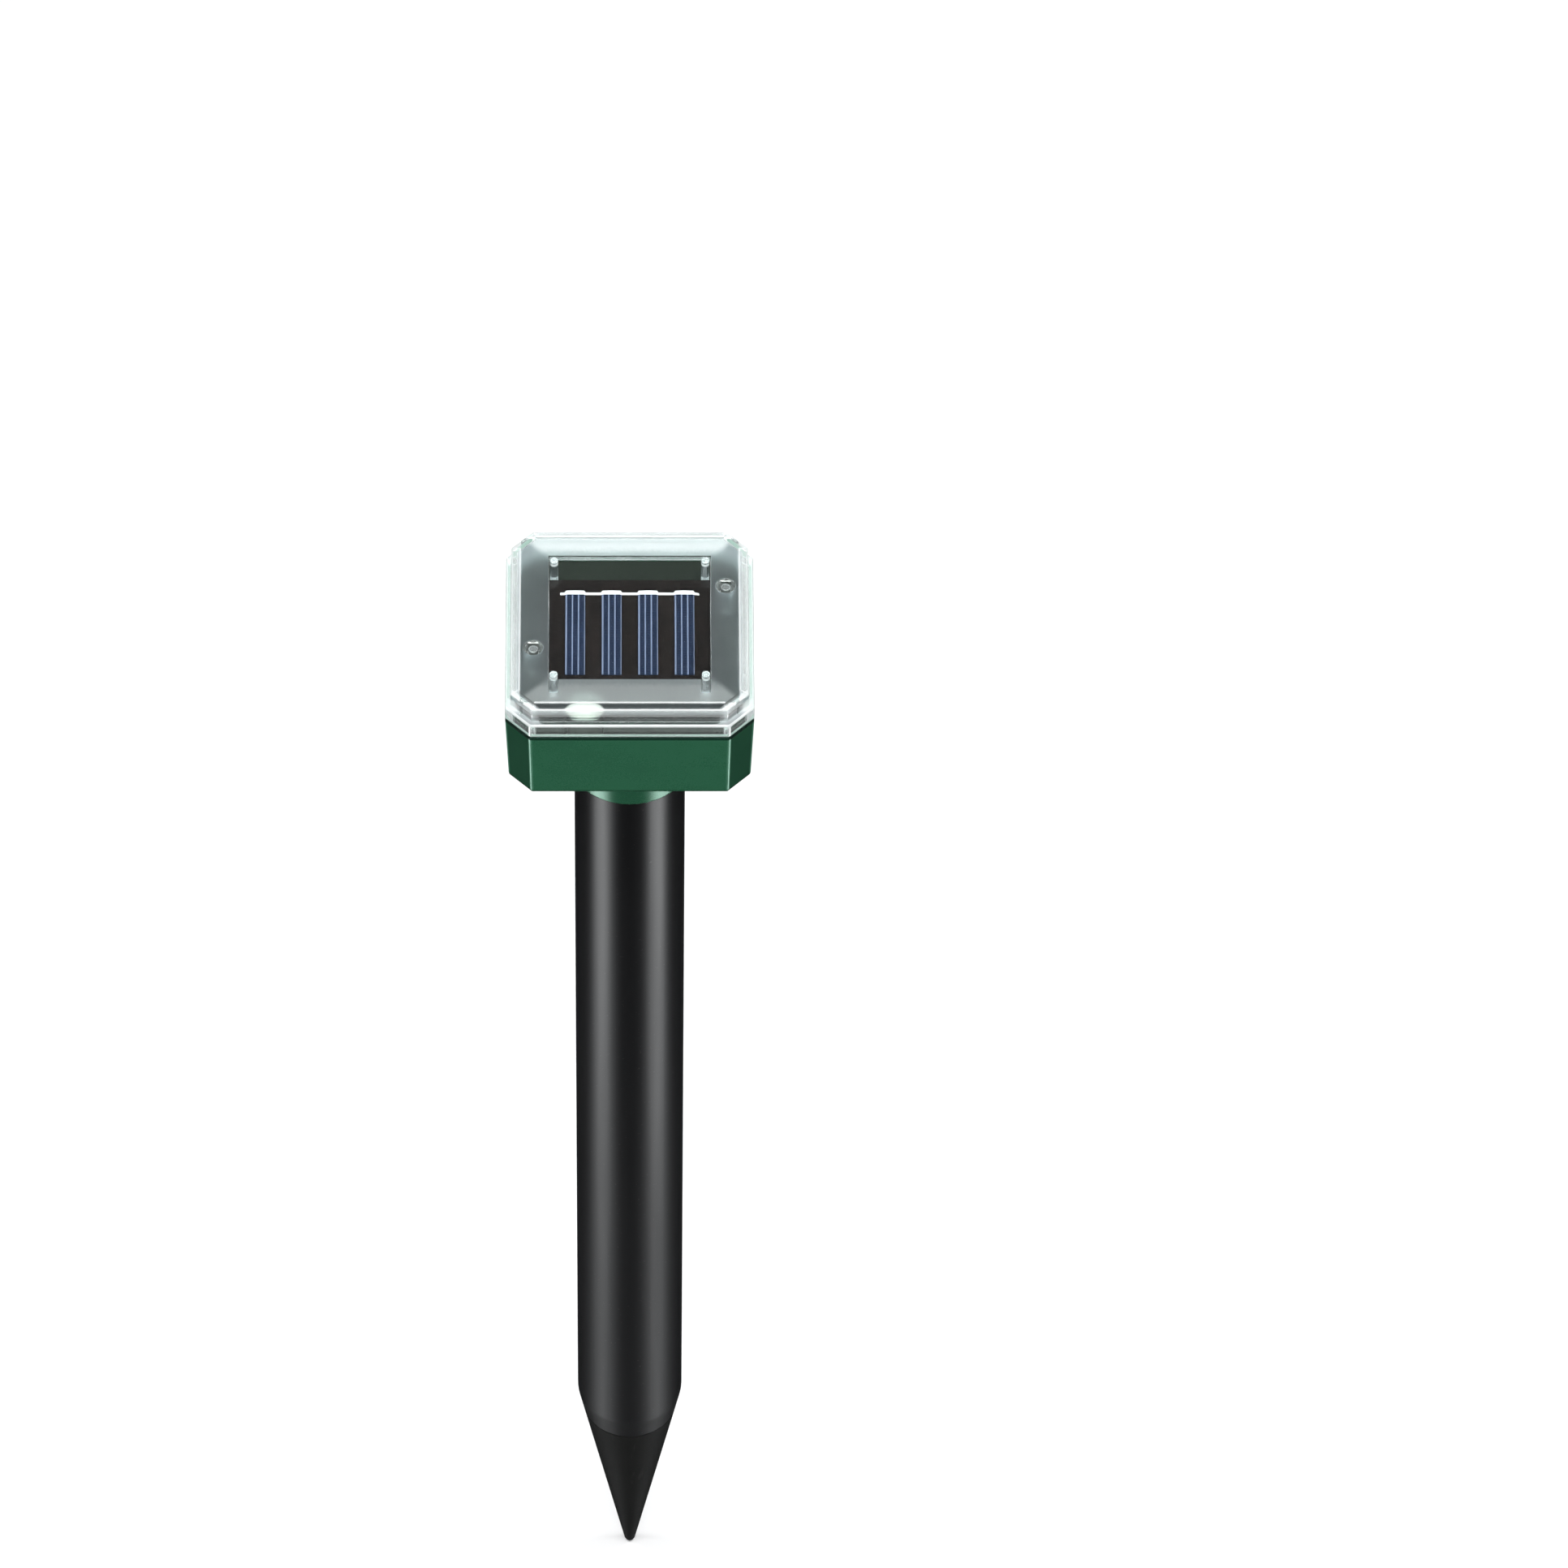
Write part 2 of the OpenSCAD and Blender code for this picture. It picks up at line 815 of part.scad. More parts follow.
module speaker_magnet() {
    color("#3a3a3a")
    tube_ring(motor_r, magnet_bore_r, magnet_z, yoke_z);
}

module speaker_yoke() {
    color("silver") {
        rod([0, 0], motor_r, yoke_z, yoke_z + yoke_t);
        rod([0, 0], pole_r, plate_z, yoke_z + eps);
    }
}

// Half-round roll between the frame and the cone
module speaker_surround() {
    color("#101010")
    translate([0, 0, spk_z + frame_t])
        rotate_extrude()
            translate([roll_at, 0])
                difference() {
                    circle(r = roll_r[1], $fn = 32);
                    circle(r = roll_r[0], $fn = 32);
                    translate([-2, 0])
                        square([4, 2]);
                }
}

// Cone with its dust cap; it moves up and down with the coil
module speaker_cone() {
    neck = coil_r + coil_t;
    color("#4a4034")
    rotate_extrude()
        polygon([[cone_r, cone_z], [cone_r, cone_z + cone_t], [neck, coil_z],
            [0, coil_z - cap_dip], [0, coil_z - cap_dip - cone_t], [neck, coil_z - 2 * cone_t]]);
}

module voice_coil() {
    color("#b5652b")
    tube_ring(coil_r + coil_t, coil_r, coil_z, coil_z + coil_h);
}

housing();
clear_lid();
lid_seal();
lid_screws();
panel_board();
solar_cells();
cell_ribbons();
panel_pads();
panel_leads();
panel_tray();
status_led();
led_leads();
control_board();
board_screws();
controller_chip();
chip_parts();
capacitors();
boost_coil();
lead_socket();
switch_body();
power_button();
button_seal();
battery_holder();
battery_cell();
battery_spring();
battery_contact();
battery_leads();
tube_spigot();
neck_seal();
lead_plug();
speaker_lead();
stake_tube();
ground_spike();
speaker_ring();
speaker_frame();
speaker_plate();
speaker_magnet();
speaker_yoke();
speaker_surround();
speaker_cone();
voice_coil();
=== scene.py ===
"""Looks of a solar pest repeller on a ground stake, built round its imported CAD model.

Sizes in this file are millimetres in the part's own frame: the origin is on the tube's axis at
soil level, +Z is up and the head's front faces -Y. Meshes are made in metres.
"""
import json
import math
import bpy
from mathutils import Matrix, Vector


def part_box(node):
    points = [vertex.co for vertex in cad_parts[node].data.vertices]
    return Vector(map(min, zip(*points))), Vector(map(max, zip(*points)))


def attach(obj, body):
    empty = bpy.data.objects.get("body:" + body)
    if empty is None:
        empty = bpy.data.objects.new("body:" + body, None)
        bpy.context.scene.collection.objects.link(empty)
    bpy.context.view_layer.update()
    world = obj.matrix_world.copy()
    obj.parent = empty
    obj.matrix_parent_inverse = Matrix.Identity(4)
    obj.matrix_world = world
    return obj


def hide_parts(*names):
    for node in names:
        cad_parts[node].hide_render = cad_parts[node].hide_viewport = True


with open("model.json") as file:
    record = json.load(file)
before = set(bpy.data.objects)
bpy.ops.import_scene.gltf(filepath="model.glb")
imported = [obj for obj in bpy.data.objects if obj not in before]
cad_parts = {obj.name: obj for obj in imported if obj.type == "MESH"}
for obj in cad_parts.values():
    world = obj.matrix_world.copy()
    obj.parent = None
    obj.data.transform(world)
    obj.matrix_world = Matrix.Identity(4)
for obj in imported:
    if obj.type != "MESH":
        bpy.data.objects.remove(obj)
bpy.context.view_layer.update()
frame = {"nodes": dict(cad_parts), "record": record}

from types import SimpleNamespace

import bmesh
import bpy
from mathutils import Matrix, Vector

MM = 0.001


# -------------------------------- sizes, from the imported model

def node_box(node):
    """Lowest and highest corner of a CAD node, in millimetres."""
    low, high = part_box(node)
    return low / MM, high / MM


HOUSING_LOW, HOUSING_HIGH = node_box("housing")
PANEL_LOW, PANEL_HIGH = node_box("panel_board")
CELLS_LOW, CELLS_HIGH = node_box("solar_cells")
RIBBON_LOW, RIBBON_HIGH = node_box("cell_ribbons")
TRAY_LOW, TRAY_HIGH = node_box("panel_tray")
LED_LOW, LED_HIGH = node_box("status_led")
TUBE_LOW, TUBE_HIGH = node_box("stake_tube")
SPIKE_LOW, SPIKE_HIGH = node_box("ground_spike")
BUTTON_LOW, BUTTON_HIGH = node_box("power_button")
SEAL_LOW, SEAL_HIGH = node_box("lid_seal")
SCREWS_LOW, SCREWS_HIGH = node_box("lid_screws")
BOARD_Z = node_box("control_board")[0].z

HALF_W = HOUSING_HIGH.x  # half the head's width, at the seam
CORNER_CUT = 6.6  # leg of the cut corners
RIM_Z = SEAL_LOW.z  # top of the green housing
SEAM_Z = SEAL_HIGH.z  # underside of the lid's flange
TOP_Z = node_box("clear_lid")[1].z
NECK_RIM_Z = HOUSING_LOW.z
NECK_H = 23.0
HEAD_Z = NECK_RIM_Z + NECK_H  # underside of the head
WALL = 2.0
DRAFT = 0.85  # how far the sides lean in at the bottom
FLOOR_Z = HEAD_Z + 2.4  # top of the housing's floor
NECK_R = 16.9
NECK_BORE_R = 14.35
LEAD_HOLE_R = 7.5

LID_T = 1.8
LEDGE_Z = SEAM_Z + 4.6  # top of the lid's flange
LEDGE_W = 1.5
BEVEL_W = 2.4
BEVEL_H = 0.6
TONGUE_IN = 2.2
TONGUE_H = 1.5
CEILING_Z = TOP_Z - LID_T  # underside of the lid's top
WINDOW_HALF = (21.75, 21.9)  # half the width and depth of the clear window
WINDOW_Y = 1.5  # how far behind the head's middle the window's middle is
POST_R = 1.12
POST_X = 20.3
POST_FRONT_Y = PANEL_LOW.y - POST_R - 0.18
POST_REAR_Y = 21.9
POSTS = [(x, y) for x in (-POST_X, POST_X) for y in (POST_FRONT_Y, POST_REAR_Y)]
SCREW_HEAD_R = 2.7
BOSSES = [(SCREWS_LOW.x + SCREW_HEAD_R, SCREWS_LOW.y + SCREW_HEAD_R),
          (SCREWS_HIGH.x - SCREW_HEAD_R, SCREWS_HIGH.y - SCREW_HEAD_R)]
BOSS_R = 2.6
BOSS_BORE_R = 1.3
SCREW_POCKET_R = 2.95
SCREW_POCKET_Z = HEAD_Z + 3.6
TUNNEL_R = 3.2
TUNNEL_FOOT_R = 4.3
SCREW_HOLE_R = 1.65
BUTTON = (0.0, 24.5)
BUTTON_HOLE_R = 3.8
PILLARS = [(-17.5, -8.5), (17.5, -8.5), (-17.5, 24.5), (17.5, 24.5)]
PILLAR_R = 2.6
LED_X = (LED_LOW.x + LED_HIGH.x) / 2
LED_Y = (LED_LOW.y + LED_HIGH.y) / 2
LED_R = (LED_HIGH.x - LED_LOW.x) / 2
LED_CAP_H = 1.8

TUBE_R = TUBE_HIGH.x
TUBE_IN_R = TUBE_R - 1.5
TAPER_IN = 1.5  # how far the tube is rolled in at its bottom
TAPER_Z = TUBE_LOW.z + 8.4
TIP_Z = SPIKE_LOW.z
TIP_R = 1.7


# -------------------------------- camera, lights and floor

CAMERA_DISTANCE = 3.0
CAMERA_ELEVATION = 48.8
CAMERA_LENS = 257.9
SENSOR = 36.0
HEAD_IN_FRAME = (-0.0984, 0.1053)  # where the lid's centre shows, from the middle, in frame widths

SKY_LOW = 0.02  # strength of the world below the horizon and high above it
SKY_HIGH = 0.45
SKY_RISE = (-0.05, 0.35)  # sine of the elevations between which it goes from low to high
SKY_COLOUR = (0.97, 0.99, 1.0)
PATCH_AZIMUTH = 59.0  # bearing of each low patch from the front, in degrees
PATCH_SPREAD = 16.0
PATCH_GLOW = 16.0  # strength that a patch adds in glossy reflections
FLAG_SPREAD = 42.0
FLAG_DEPTH = 0.95  # share of the sky's strength that the flag takes away
FLOOR_HALF = 6.0  # metres


def make_camera():
    """A far camera above the front that shows the tube upright, left of the picture's middle."""
    data = bpy.data.cameras.new("camera")
    data.lens = CAMERA_LENS
    data.sensor_width = SENSOR
    camera = bpy.data.objects.new("camera", data)
    bpy.context.scene.collection.objects.link(camera)
    down = math.radians(CAMERA_ELEVATION)
    sight = Vector((0, math.cos(down), -math.sin(down)))
    u, v = (share * SENSOR / CAMERA_LENS for share in HEAD_IN_FRAME)
    upright = Vector((1, 0, u)).normalized()
    head_ray = Vector((u, v, -1)).normalized()
    seen = Matrix((upright, head_ray, upright.cross(head_ray)))
    side = Vector((1, 0, 0))
    turn = Matrix((side, sight, side.cross(sight))).transposed() @ seen
    camera.location = Vector((0, 0, TOP_Z * MM)) - sight * CAMERA_DISTANCE
    camera.rotation_euler = turn.to_euler()
    bpy.context.scene.camera = camera


def area_light(name, at, size, power):
    """A rectangular softbox at a point, facing the origin, that the camera itself doesn't see."""
    data = bpy.data.lights.new(name, "AREA")
    data.shape = "RECTANGLE"
    data.size, data.size_y = size
    data.energy = power
    light = bpy.data.objects.new(name, data)
    light.location = at
    light.rotation_euler = (-Vector(at)).to_track_quat("-Z", "Y").to_euler()
    light.visible_camera = False
    bpy.context.scene.collection.objects.link(light)


def make_lights():
    """Soft boxes overhead, in front and behind, and narrow bright strips for lines along the edges."""
    area_light("overhead", (0, -0.4, 1.6), (2.0, 1.5), 10)
    area_light("front", (0, -1.5, 0.9), (1.0, 0.9), 12)
    area_light("behind", (0.3, 1.6, 0.5), (1.3, 0.6), 3)
    area_light("edge_front", (0, -0.35, 1.2), (1.2, 0.06), 6)
    for side in (-1, 1):
        area_light(f"edge_{side}", (side * 0.8, 0.25, 1.0), (0.06, 1.0), 6)


def lobe(sky, direction, azimuth, elevation, spread):
    """A soft round patch of sky round a bearing: 1 in its middle and 0 past its spread, in degrees."""
    a, e = math.radians(azimuth), math.radians(elevation)
    bearing = (math.sin(a) * math.cos(e), -math.cos(a) * math.cos(e), math.sin(e))
    near = sky.add("ShaderNodeVectorMath", "Value", "DOT_PRODUCT", i0=direction, i1=bearing)
    return sky.step(near, math.cos(math.radians(spread)), 1)


def make_world():
    """Soft pale sky above and dark below.

    Two soft patches low at the sides give the tube its gloss and light nothing else. A dark flag
    behind keeps the lid's top free of glare. What the camera sees of it directly is plain white.
    """
    world = bpy.data.worlds.new("studio")
    world.use_nodes = True
    sky = Nodes(world.node_tree)
    direction = sky.add("ShaderNodeTexCoord", "Generated")
    glow = sky.add("ShaderNodeMapRange", Value=sky.add("ShaderNodeSeparateXYZ", "Z", Vector=direction),
                   From_Min=SKY_RISE[0], From_Max=SKY_RISE[1], To_Min=SKY_LOW, To_Max=SKY_HIGH)
    flag = lobe(sky, direction, 180, CAMERA_ELEVATION, FLAG_SPREAD)
    glow = sky.math("ADD", glow, sky.times(flag, -SKY_HIGH * FLAG_DEPTH))
    gloss = sky.times(sky.add("ShaderNodeLightPath", "Is Glossy Ray"), PATCH_GLOW)
    for azimuth in (-PATCH_AZIMUTH, PATCH_AZIMUTH):
        patch = lobe(sky, direction, azimuth, -CAMERA_ELEVATION, PATCH_SPREAD)
        glow = sky.math("ADD", glow, sky.times(patch, gloss))
    glow = sky.most(glow, sky.add("ShaderNodeLightPath", "Is Camera Ray"))
    background = world.node_tree.nodes["Background"].inputs
    sky.feed(glow, background["Strength"])
    sky.feed(SKY_COLOUR, background["Color"])
    bpy.context.scene.world = world
    bpy.context.scene.view_settings.view_transform = "Standard"


def make_floor():
    """A plain pale floor at the spike's tip, which neither lights the object nor shows in it."""
    z = TIP_Z * MM
    mesh = bpy.data.meshes.new("floor")
    corners = [(x * FLOOR_HALF, y * FLOOR_HALF, z) for x, y in ((-1, -1), (1, -1), (1, 1), (-1, 1))]
    mesh.from_pydata(corners, [], [(0, 1, 2, 3)])
    floor = bpy.data.objects.new("floor", mesh)
    bpy.context.scene.collection.objects.link(floor)
    paint = Paint("floor_paper")
    paint.shader(base=(0.9, 0.9, 0.9), roughness=0.9, specular=0.0)
    paint.to("Base Color", paint.mix(paint.noise(3.0, 2), (0.93, 0.93, 0.93), (0.9, 0.9, 0.905)))
    mesh.materials.append(paint.material)
    floor.visible_glossy = False
    floor.visible_diffuse = False


# -------------------------------- material building

class Nodes:
    """A node tree, with short calls for the nodes that this scene uses."""

    def __init__(self, tree):
        self.tree = tree

    def feed(self, value, socket):
        """Links a node output to a socket, or sets a plain number or colour on it."""
        if isinstance(value, bpy.types.NodeSocket):
            self.tree.links.new(value, socket)
        elif isinstance(value, tuple) and len(value) == 3 and socket.type == "RGBA":
            socket.default_value = (*value, 1)
        else:
            socket.default_value = value

    def add(self, kind, out=0, operation=None, **inputs):
        """Makes a node and returns one output. Its inputs go by name, or by number as i0, i1."""
        node = self.tree.nodes.new(kind)
        if operation:
            node.operation = operation
        for key, value in inputs.items():
            index = int(key[1:]) if key[0] == "i" and key[1:].isdigit() else key.replace("_", " ")
            self.feed(value, node.inputs[index])
        return node.outputs[out]

    def math(self, operation, a, b=0.0, clamp=False):
        out = self.add("ShaderNodeMath", operation=operation, i0=a, i1=b)
        out.node.use_clamp = clamp
        return out

    def times(self, product, *others):
        """The product of all the values."""
        for other in others:
            product = self.math("MULTIPLY", product, other)
        return product

    def most(self, largest, *others):
        """The largest of all the values."""
        for other in others:
            largest = self.math("MAXIMUM", largest, other)
        return largest

    def inverse(self, value):
        """1 less the value."""
        return self.math("SUBTRACT", 1.0, value)

    def step(self, value, start, full):
        """0 up to start, 1 from full on, smooth between. The larger of the two may come first."""
        out = self.add("ShaderNodeMapRange", Value=value, From_Min=start, From_Max=full)
        out.node.interpolation_type = "SMOOTHSTEP"
        return out

    def fade(self, value, start, full):
        """A step between two places in millimetres."""
        return self.step(value, start * MM, full * MM)

    def span(self, value, low, high):
        """A 0 to 1 value put into the range from low to high."""
        return self.add("ShaderNodeMapRange", Value=value, To_Min=low, To_Max=high)


class Paint(Nodes):
    """A procedural material round one Principled shader."""

    def __init__(self, name):
        self.material = bpy.data.materials.new(name)
        self.material.use_nodes = True
        super().__init__(self.material.node_tree)
        self.bsdf = self.tree.nodes["Principled BSDF"]
        self.coords = self.add("ShaderNodeTexCoord", "Object")

    def shader(self, base, roughness, specular=0.5, **sockets):
        """Plain values on the shader's own sockets."""
        self.to("Base Color", base)
        self.to("Roughness", roughness)
        self.to("Specular IOR Level", specular)
        for key, value in sockets.items():
            self.to(key.replace("_", " "), value)

    def to(self, socket, value):
        self.feed(value, self.bsdf.inputs[socket])

    def stretched(self, factors):
        """The coordinates scaled by a factor along each axis."""
        return self.add("ShaderNodeVectorMath", 0, "MULTIPLY", i0=self.coords, i1=factors)

    def noise(self, scale, detail=3, rough=0.5, vector=None):
        return self.add("ShaderNodeTexNoise", Vector=vector or self.coords,
                        Scale=scale, Detail=float(detail), Roughness=rough)

    def axis(self, name, vector=None):
        """One coordinate, X, Y or Z."""
        return self.add("ShaderNodeSeparateXYZ", name, Vector=vector or self.coords)

    def layer(self, start, full, fall, gone):
        """1 in a layer of heights, with soft edges: the four heights between which it fades in and out."""
        z = self.axis("Z")
        return self.math("SUBTRACT", self.fade(z, start, full), self.fade(z, fall, gone))

    def mix(self, factor, a, b):
        """Colour a where the factor is 0 and b where it is 1."""
        node = self.tree.nodes.new("ShaderNodeMix")
        node.data_type = "RGBA"
        self.feed(factor, node.inputs["Factor"])
        self.feed(a, node.inputs[6])
        self.feed(b, node.inputs[7])
        return node.outputs[2]

    def attribute(self, name):
        """A value that the mesh holds for each point."""
        node = self.tree.nodes.new("ShaderNodeAttribute")
        node.attribute_name = name
        return node.outputs["Fac"]

    def bump(self, height, depth_mm, strength):
        return self.add("ShaderNodeBump", Height=height, Distance=depth_mm * MM, Strength=strength)

    def lets_lamps_through(self, tint):
        """Shadow rays pass with this tint, so lamps light what the piece covers."""
        clear = self.add("ShaderNodeBsdfTransparent", Color=tint)
        shadow = self.add("ShaderNodeLightPath", "Is Shadow Ray")
        surface = self.add("ShaderNodeMixShader", i0=shadow, i1=self.bsdf.outputs[0], i2=clear)
        self.tree.links.new(surface, self.tree.nodes["Material Output"].inputs["Surface"])


GREEN = (0.033, 0.148, 0.079)
EDGE_HIGHLIGHT = (0.20, 0.44, 0.32)  # painted highlight on the green plastic's rounded edges
# how strong the painted edge highlight is at most
EDGE_HIGHLIGHT_SHARE = 0.75
CUT_SHADE = 0.5  # painted shade: how much darker a face marked with a shade of 1 is
CUT_GLOSS = 0.55  # roughness of such a face, as a share of the plain faces' roughness
TUBE_BLACK = (0.010, 0.010, 0.011)
TUBE_WEAR = 0.16  # how much rougher the tube is at its bottom than at its top


def moulded(name, base, roughness, grain_mm=0.35, grain_depth=0.02, highlight=None, **sockets):
    """Moulded plastic: faint flow marks and a fine grain.

    With a highlight colour, rounded corners get a painted highlight, and faces and rims marked with a
    shade get painted shade and are glossier.
    """
    paint = Paint(name)
    paint.shader(base, roughness, **sockets)
    flow = paint.noise(45.0, 4)
    fine = paint.noise(1000.0 / grain_mm, 2)
    pale = tuple(min(1.0, c * 1.16 + 0.002) for c in base)
    deep = tuple(c * 0.88 for c in base)
    colour = paint.mix(flow, deep, pale)
    if highlight:
        # painted highlight: pale patches on the rounded corners
        edge = paint.attribute("edge")
        patchy = paint.step(paint.noise(220.0, 5), 0.25, 0.7)
        share = paint.math("MULTIPLY", edge, paint.span(patchy, 0.55, 1.0), clamp=True)
        colour = paint.mix(paint.times(share, EDGE_HIGHLIGHT_SHARE), colour, highlight)
        # painted shade: a shade mark of 1 darkens the cut corner faces, a mark of 2 turns the rim black
        painted_shade = paint.math("MULTIPLY", paint.attribute("shade"), CUT_SHADE, clamp=True)
        colour = paint.mix(painted_shade, colour, (0, 0, 0))
    paint.to("Base Color", colour)
    rough = paint.math("ADD", paint.span(flow, roughness - 0.05, roughness + 0.05),
                       paint.span(fine, -0.03, 0.03))
    if highlight:
        on_cut = paint.math("PINGPONG", paint.attribute("shade"), 1.0)
        rough = paint.times(rough, paint.span(on_cut, 1.0, CUT_GLOSS))
    paint.to("Roughness", rough)
    paint.to("Normal", paint.bump(fine, grain_depth, 0.5))
    return paint.material


def metal(name, base, roughness):
    """Turned and plated metal: fine lines round its upright axis and small stains."""
    paint = Paint(name)
    paint.shader(base, roughness, Metallic=1.0)
    lines = paint.noise(900.0, 3, vector=paint.stretched((1, 1, 12)))
    stain = paint.noise(260.0, 4)
    paint.to("Base Color", paint.mix(stain, tuple(c * 0.8 for c in base), base))
    paint.to("Roughness", paint.span(lines, roughness - 0.08, roughness + 0.12))
    paint.to("Normal", paint.bump(lines, 0.01, 0.4))
    return paint.material


def solder(name):
    """Bright solder, slightly lumpy."""
    paint = Paint(name)
    paint.shader((0.85, 0.85, 0.84), 0.5, Metallic=0.25)
    lump = paint.noise(700.0, 3)
    paint.to("Base Color", paint.mix(lump, (0.78, 0.78, 0.77), (0.92, 0.92, 0.91)))
    paint.to("Roughness", paint.span(lump, 0.38, 0.6))
    paint.to("Normal", paint.bump(lump, 0.05, 0.5))
    return paint.material


def rubber(name, base):
    """Matt rubber with a dusty grain."""
    paint = Paint(name)
    paint.shader(base, 0.75, 0.3)
    dust = paint.noise(600.0, 4)
    paint.to("Base Color", paint.mix(paint.step(dust, 0.4, 0.8), base, tuple(c * 2.4 for c in base)))
    paint.to("Roughness", paint.span(dust, 0.65, 0.85))
    paint.to("Normal", paint.bump(dust, 0.02, 0.5))
    return paint.material


def seal_paint():
    """Smooth pale seal, glimpsed through the lid's flange as a mint line."""
    paint = Paint("seal_pale")
    paint.shader((0.24, 0.32, 0.285), 0.6, 0.3)
    paint.to("Base Color", paint.mix(paint.noise(260.0, 3), (0.22, 0.30, 0.265), (0.26, 0.35, 0.31)))
    paint.to("Roughness", paint.span(paint.noise(700.0, 2), 0.55, 0.65))
    return paint.material


def tube_paint():
    """Satin black tube, duller toward the soil: long draw lines, handling marks and a little dust."""
    paint = Paint("tube_black")
    paint.shader(TUBE_BLACK, 0.34, 0.1)
    draw = paint.noise(520.0, 3, vector=paint.stretched((1, 1, 0.03)))
    scuff = paint.step(paint.noise(90.0, 6, 0.65, paint.stretched((1, 1, 0.35))), 0.62, 0.80)
    dust = paint.step(paint.noise(1400.0, 2), 0.66, 0.78)
    paint.to("Base Color", paint.mix(paint.times(dust, 0.25), TUBE_BLACK, (0.10, 0.10, 0.10)))
    rough = paint.math("ADD", paint.span(draw, 0.30, 0.38), paint.times(scuff, 0.10))
    worn = paint.inverse(paint.fade(paint.axis("Z"), TUBE_LOW.z, TUBE_HIGH.z))
    paint.to("Roughness", paint.math("ADD", rough, paint.times(worn, TUBE_WEAR)))
    paint.to("Normal", paint.bump(draw, 0.006, 0.35))
    return paint.material


def spike_paint():
    """Dull moulded black with a soft sparkle of glass fibre and fine upright scratches."""
    paint = Paint("spike_black")
    paint.shader((0.016, 0.016, 0.016), 0.6, 0.03)
    grain = paint.noise(2200.0, 3)
    scratch = paint.step(paint.noise(420.0, 3, 0.6, paint.stretched((1, 1, 0.06))), 0.6, 0.72)
    flow = paint.noise(60.0, 4)
    colour = paint.mix(flow, (0.013, 0.013, 0.013), (0.020, 0.020, 0.0195))
    colour = paint.mix(paint.times(scratch, 0.35), colour, (0.04, 0.04, 0.039))
    paint.to("Base Color", colour)
    paint.to("Roughness", paint.span(grain, 0.5, 0.72))
    paint.to("Normal", paint.bump(grain, 0.03, 0.5))
    return paint.material


# -------------------------------- the clear lid's material

# Layers of the lid: the heights where each starts to fade in, is full, starts to fade out, is gone
FROST_Z = [CEILING_Z + rise for rise in (-0.9, -0.6, 0.5, 0.9)]
SHAFT_Z = [TRAY_HIGH.z + 1.2, TRAY_HIGH.z + 1.9, CEILING_Z - 2.0, CEILING_Z - 1.4]
WALL_FOOT_Z = [LEDGE_Z + rise for rise in (-0.1, 0.0, 1.2, 2.0)]
BAND_Z = [LEDGE_Z + rise for rise in (1.6, 2.3, 2.8, 3.4)]
ROOT_Z = [LEDGE_Z + rise for rise in (-0.05, 0.02, 0.5, 0.9)]

# Other soft edges, in millimetres: where a zone starts, and where it is full
BESIDE = (-1.0, 2.0)  # how much further past the window's side than past its end
WALL_REACH = (29.0, 29.3)  # from the axis, along X or Y
CORNER_REACH = (54.8, 56.4)  # from the axis, along X and Y together
CEILING_RISE = (-0.1, -0.02)  # from the ceiling
FROST_EDGE = (-0.12, 0.12)  # past the window's edge
FROST_THICK = (0.6, 3.2)  # past the window's edge, where the frosting gets thicker
FROST_GRAIN = (-0.0012, 0.0012)  # metres that speckles move that place
SLOT_SIDE = (1.6, 1.0)  # sideways from a front post
SLOT_END = (5.4, 4.2)  # past the window's end
BOSS_X = (22.5, 23.0)  # sideways from the axis, past the posts

# Share of light that each place scatters. The band round the wall, the rounded edges and the posts'
# ends scatter white as painted highlights
FROST_MILK = (0.03, 0.13)
WALL_MILK = (0.025, 0.06)
BAND_HIGHLIGHT = 0.35
CORNER_MILK = 0.4
EDGE_LINE_HIGHLIGHT = 0.5
POST_END_HIGHLIGHT = 0.75
SHAFT_MILK = 0.06
STREAK_MILK = 0.35

FRONT_FROST = 1.7  # how many times thicker the frosting is in front
SIDE_HIGHLIGHT_HAZE = 5.5  # how many times milkier the walls are beside and behind than in front: painted highlight
SLOT_FROST = 0.35  # share of the frosting that is left in a slot
BOSS_SHARE = 0.15  # how milky a boss is, as a share of a post
GREY_SHADE_SHARE = 0.8  # how strong the grey painted shade is
# strength of the painted shade at the root of the front wall
ROOT_DARK = 0.85
SIDE_DARK = 0.05  # share of the bevel's painted shade that is left beside and behind

CLEAR_TINT = (0.95, 0.97, 0.975)
THIN_TINT = (0.58, 0.66, 0.67)
THICK_TINT = (0.90, 0.95, 0.96)
SIDE_TINTS = ((0.24, 0.30, 0.32), (0.34, 0.41, 0.43))
# colour of the grey painted shade on the posts' shafts and the foot of the front wall
GREY_SHADE_TINT = (0.42, 0.46, 0.48)
# colour of the painted shade on the bevel and the wall's root
BLACK_SHADE_TINT = (0.035, 0.04, 0.043)

# painted glow of the light in the plastic before it: its middle, half sizes and strength
GLOW_AT = (LED_X, LEDGE_W - HALF_W, TOP_Z - BEVEL_H)
GLOW_HALF = (5.5, 2.6, 3.7)
GLOW_PAINT_STRENGTH = 0.24


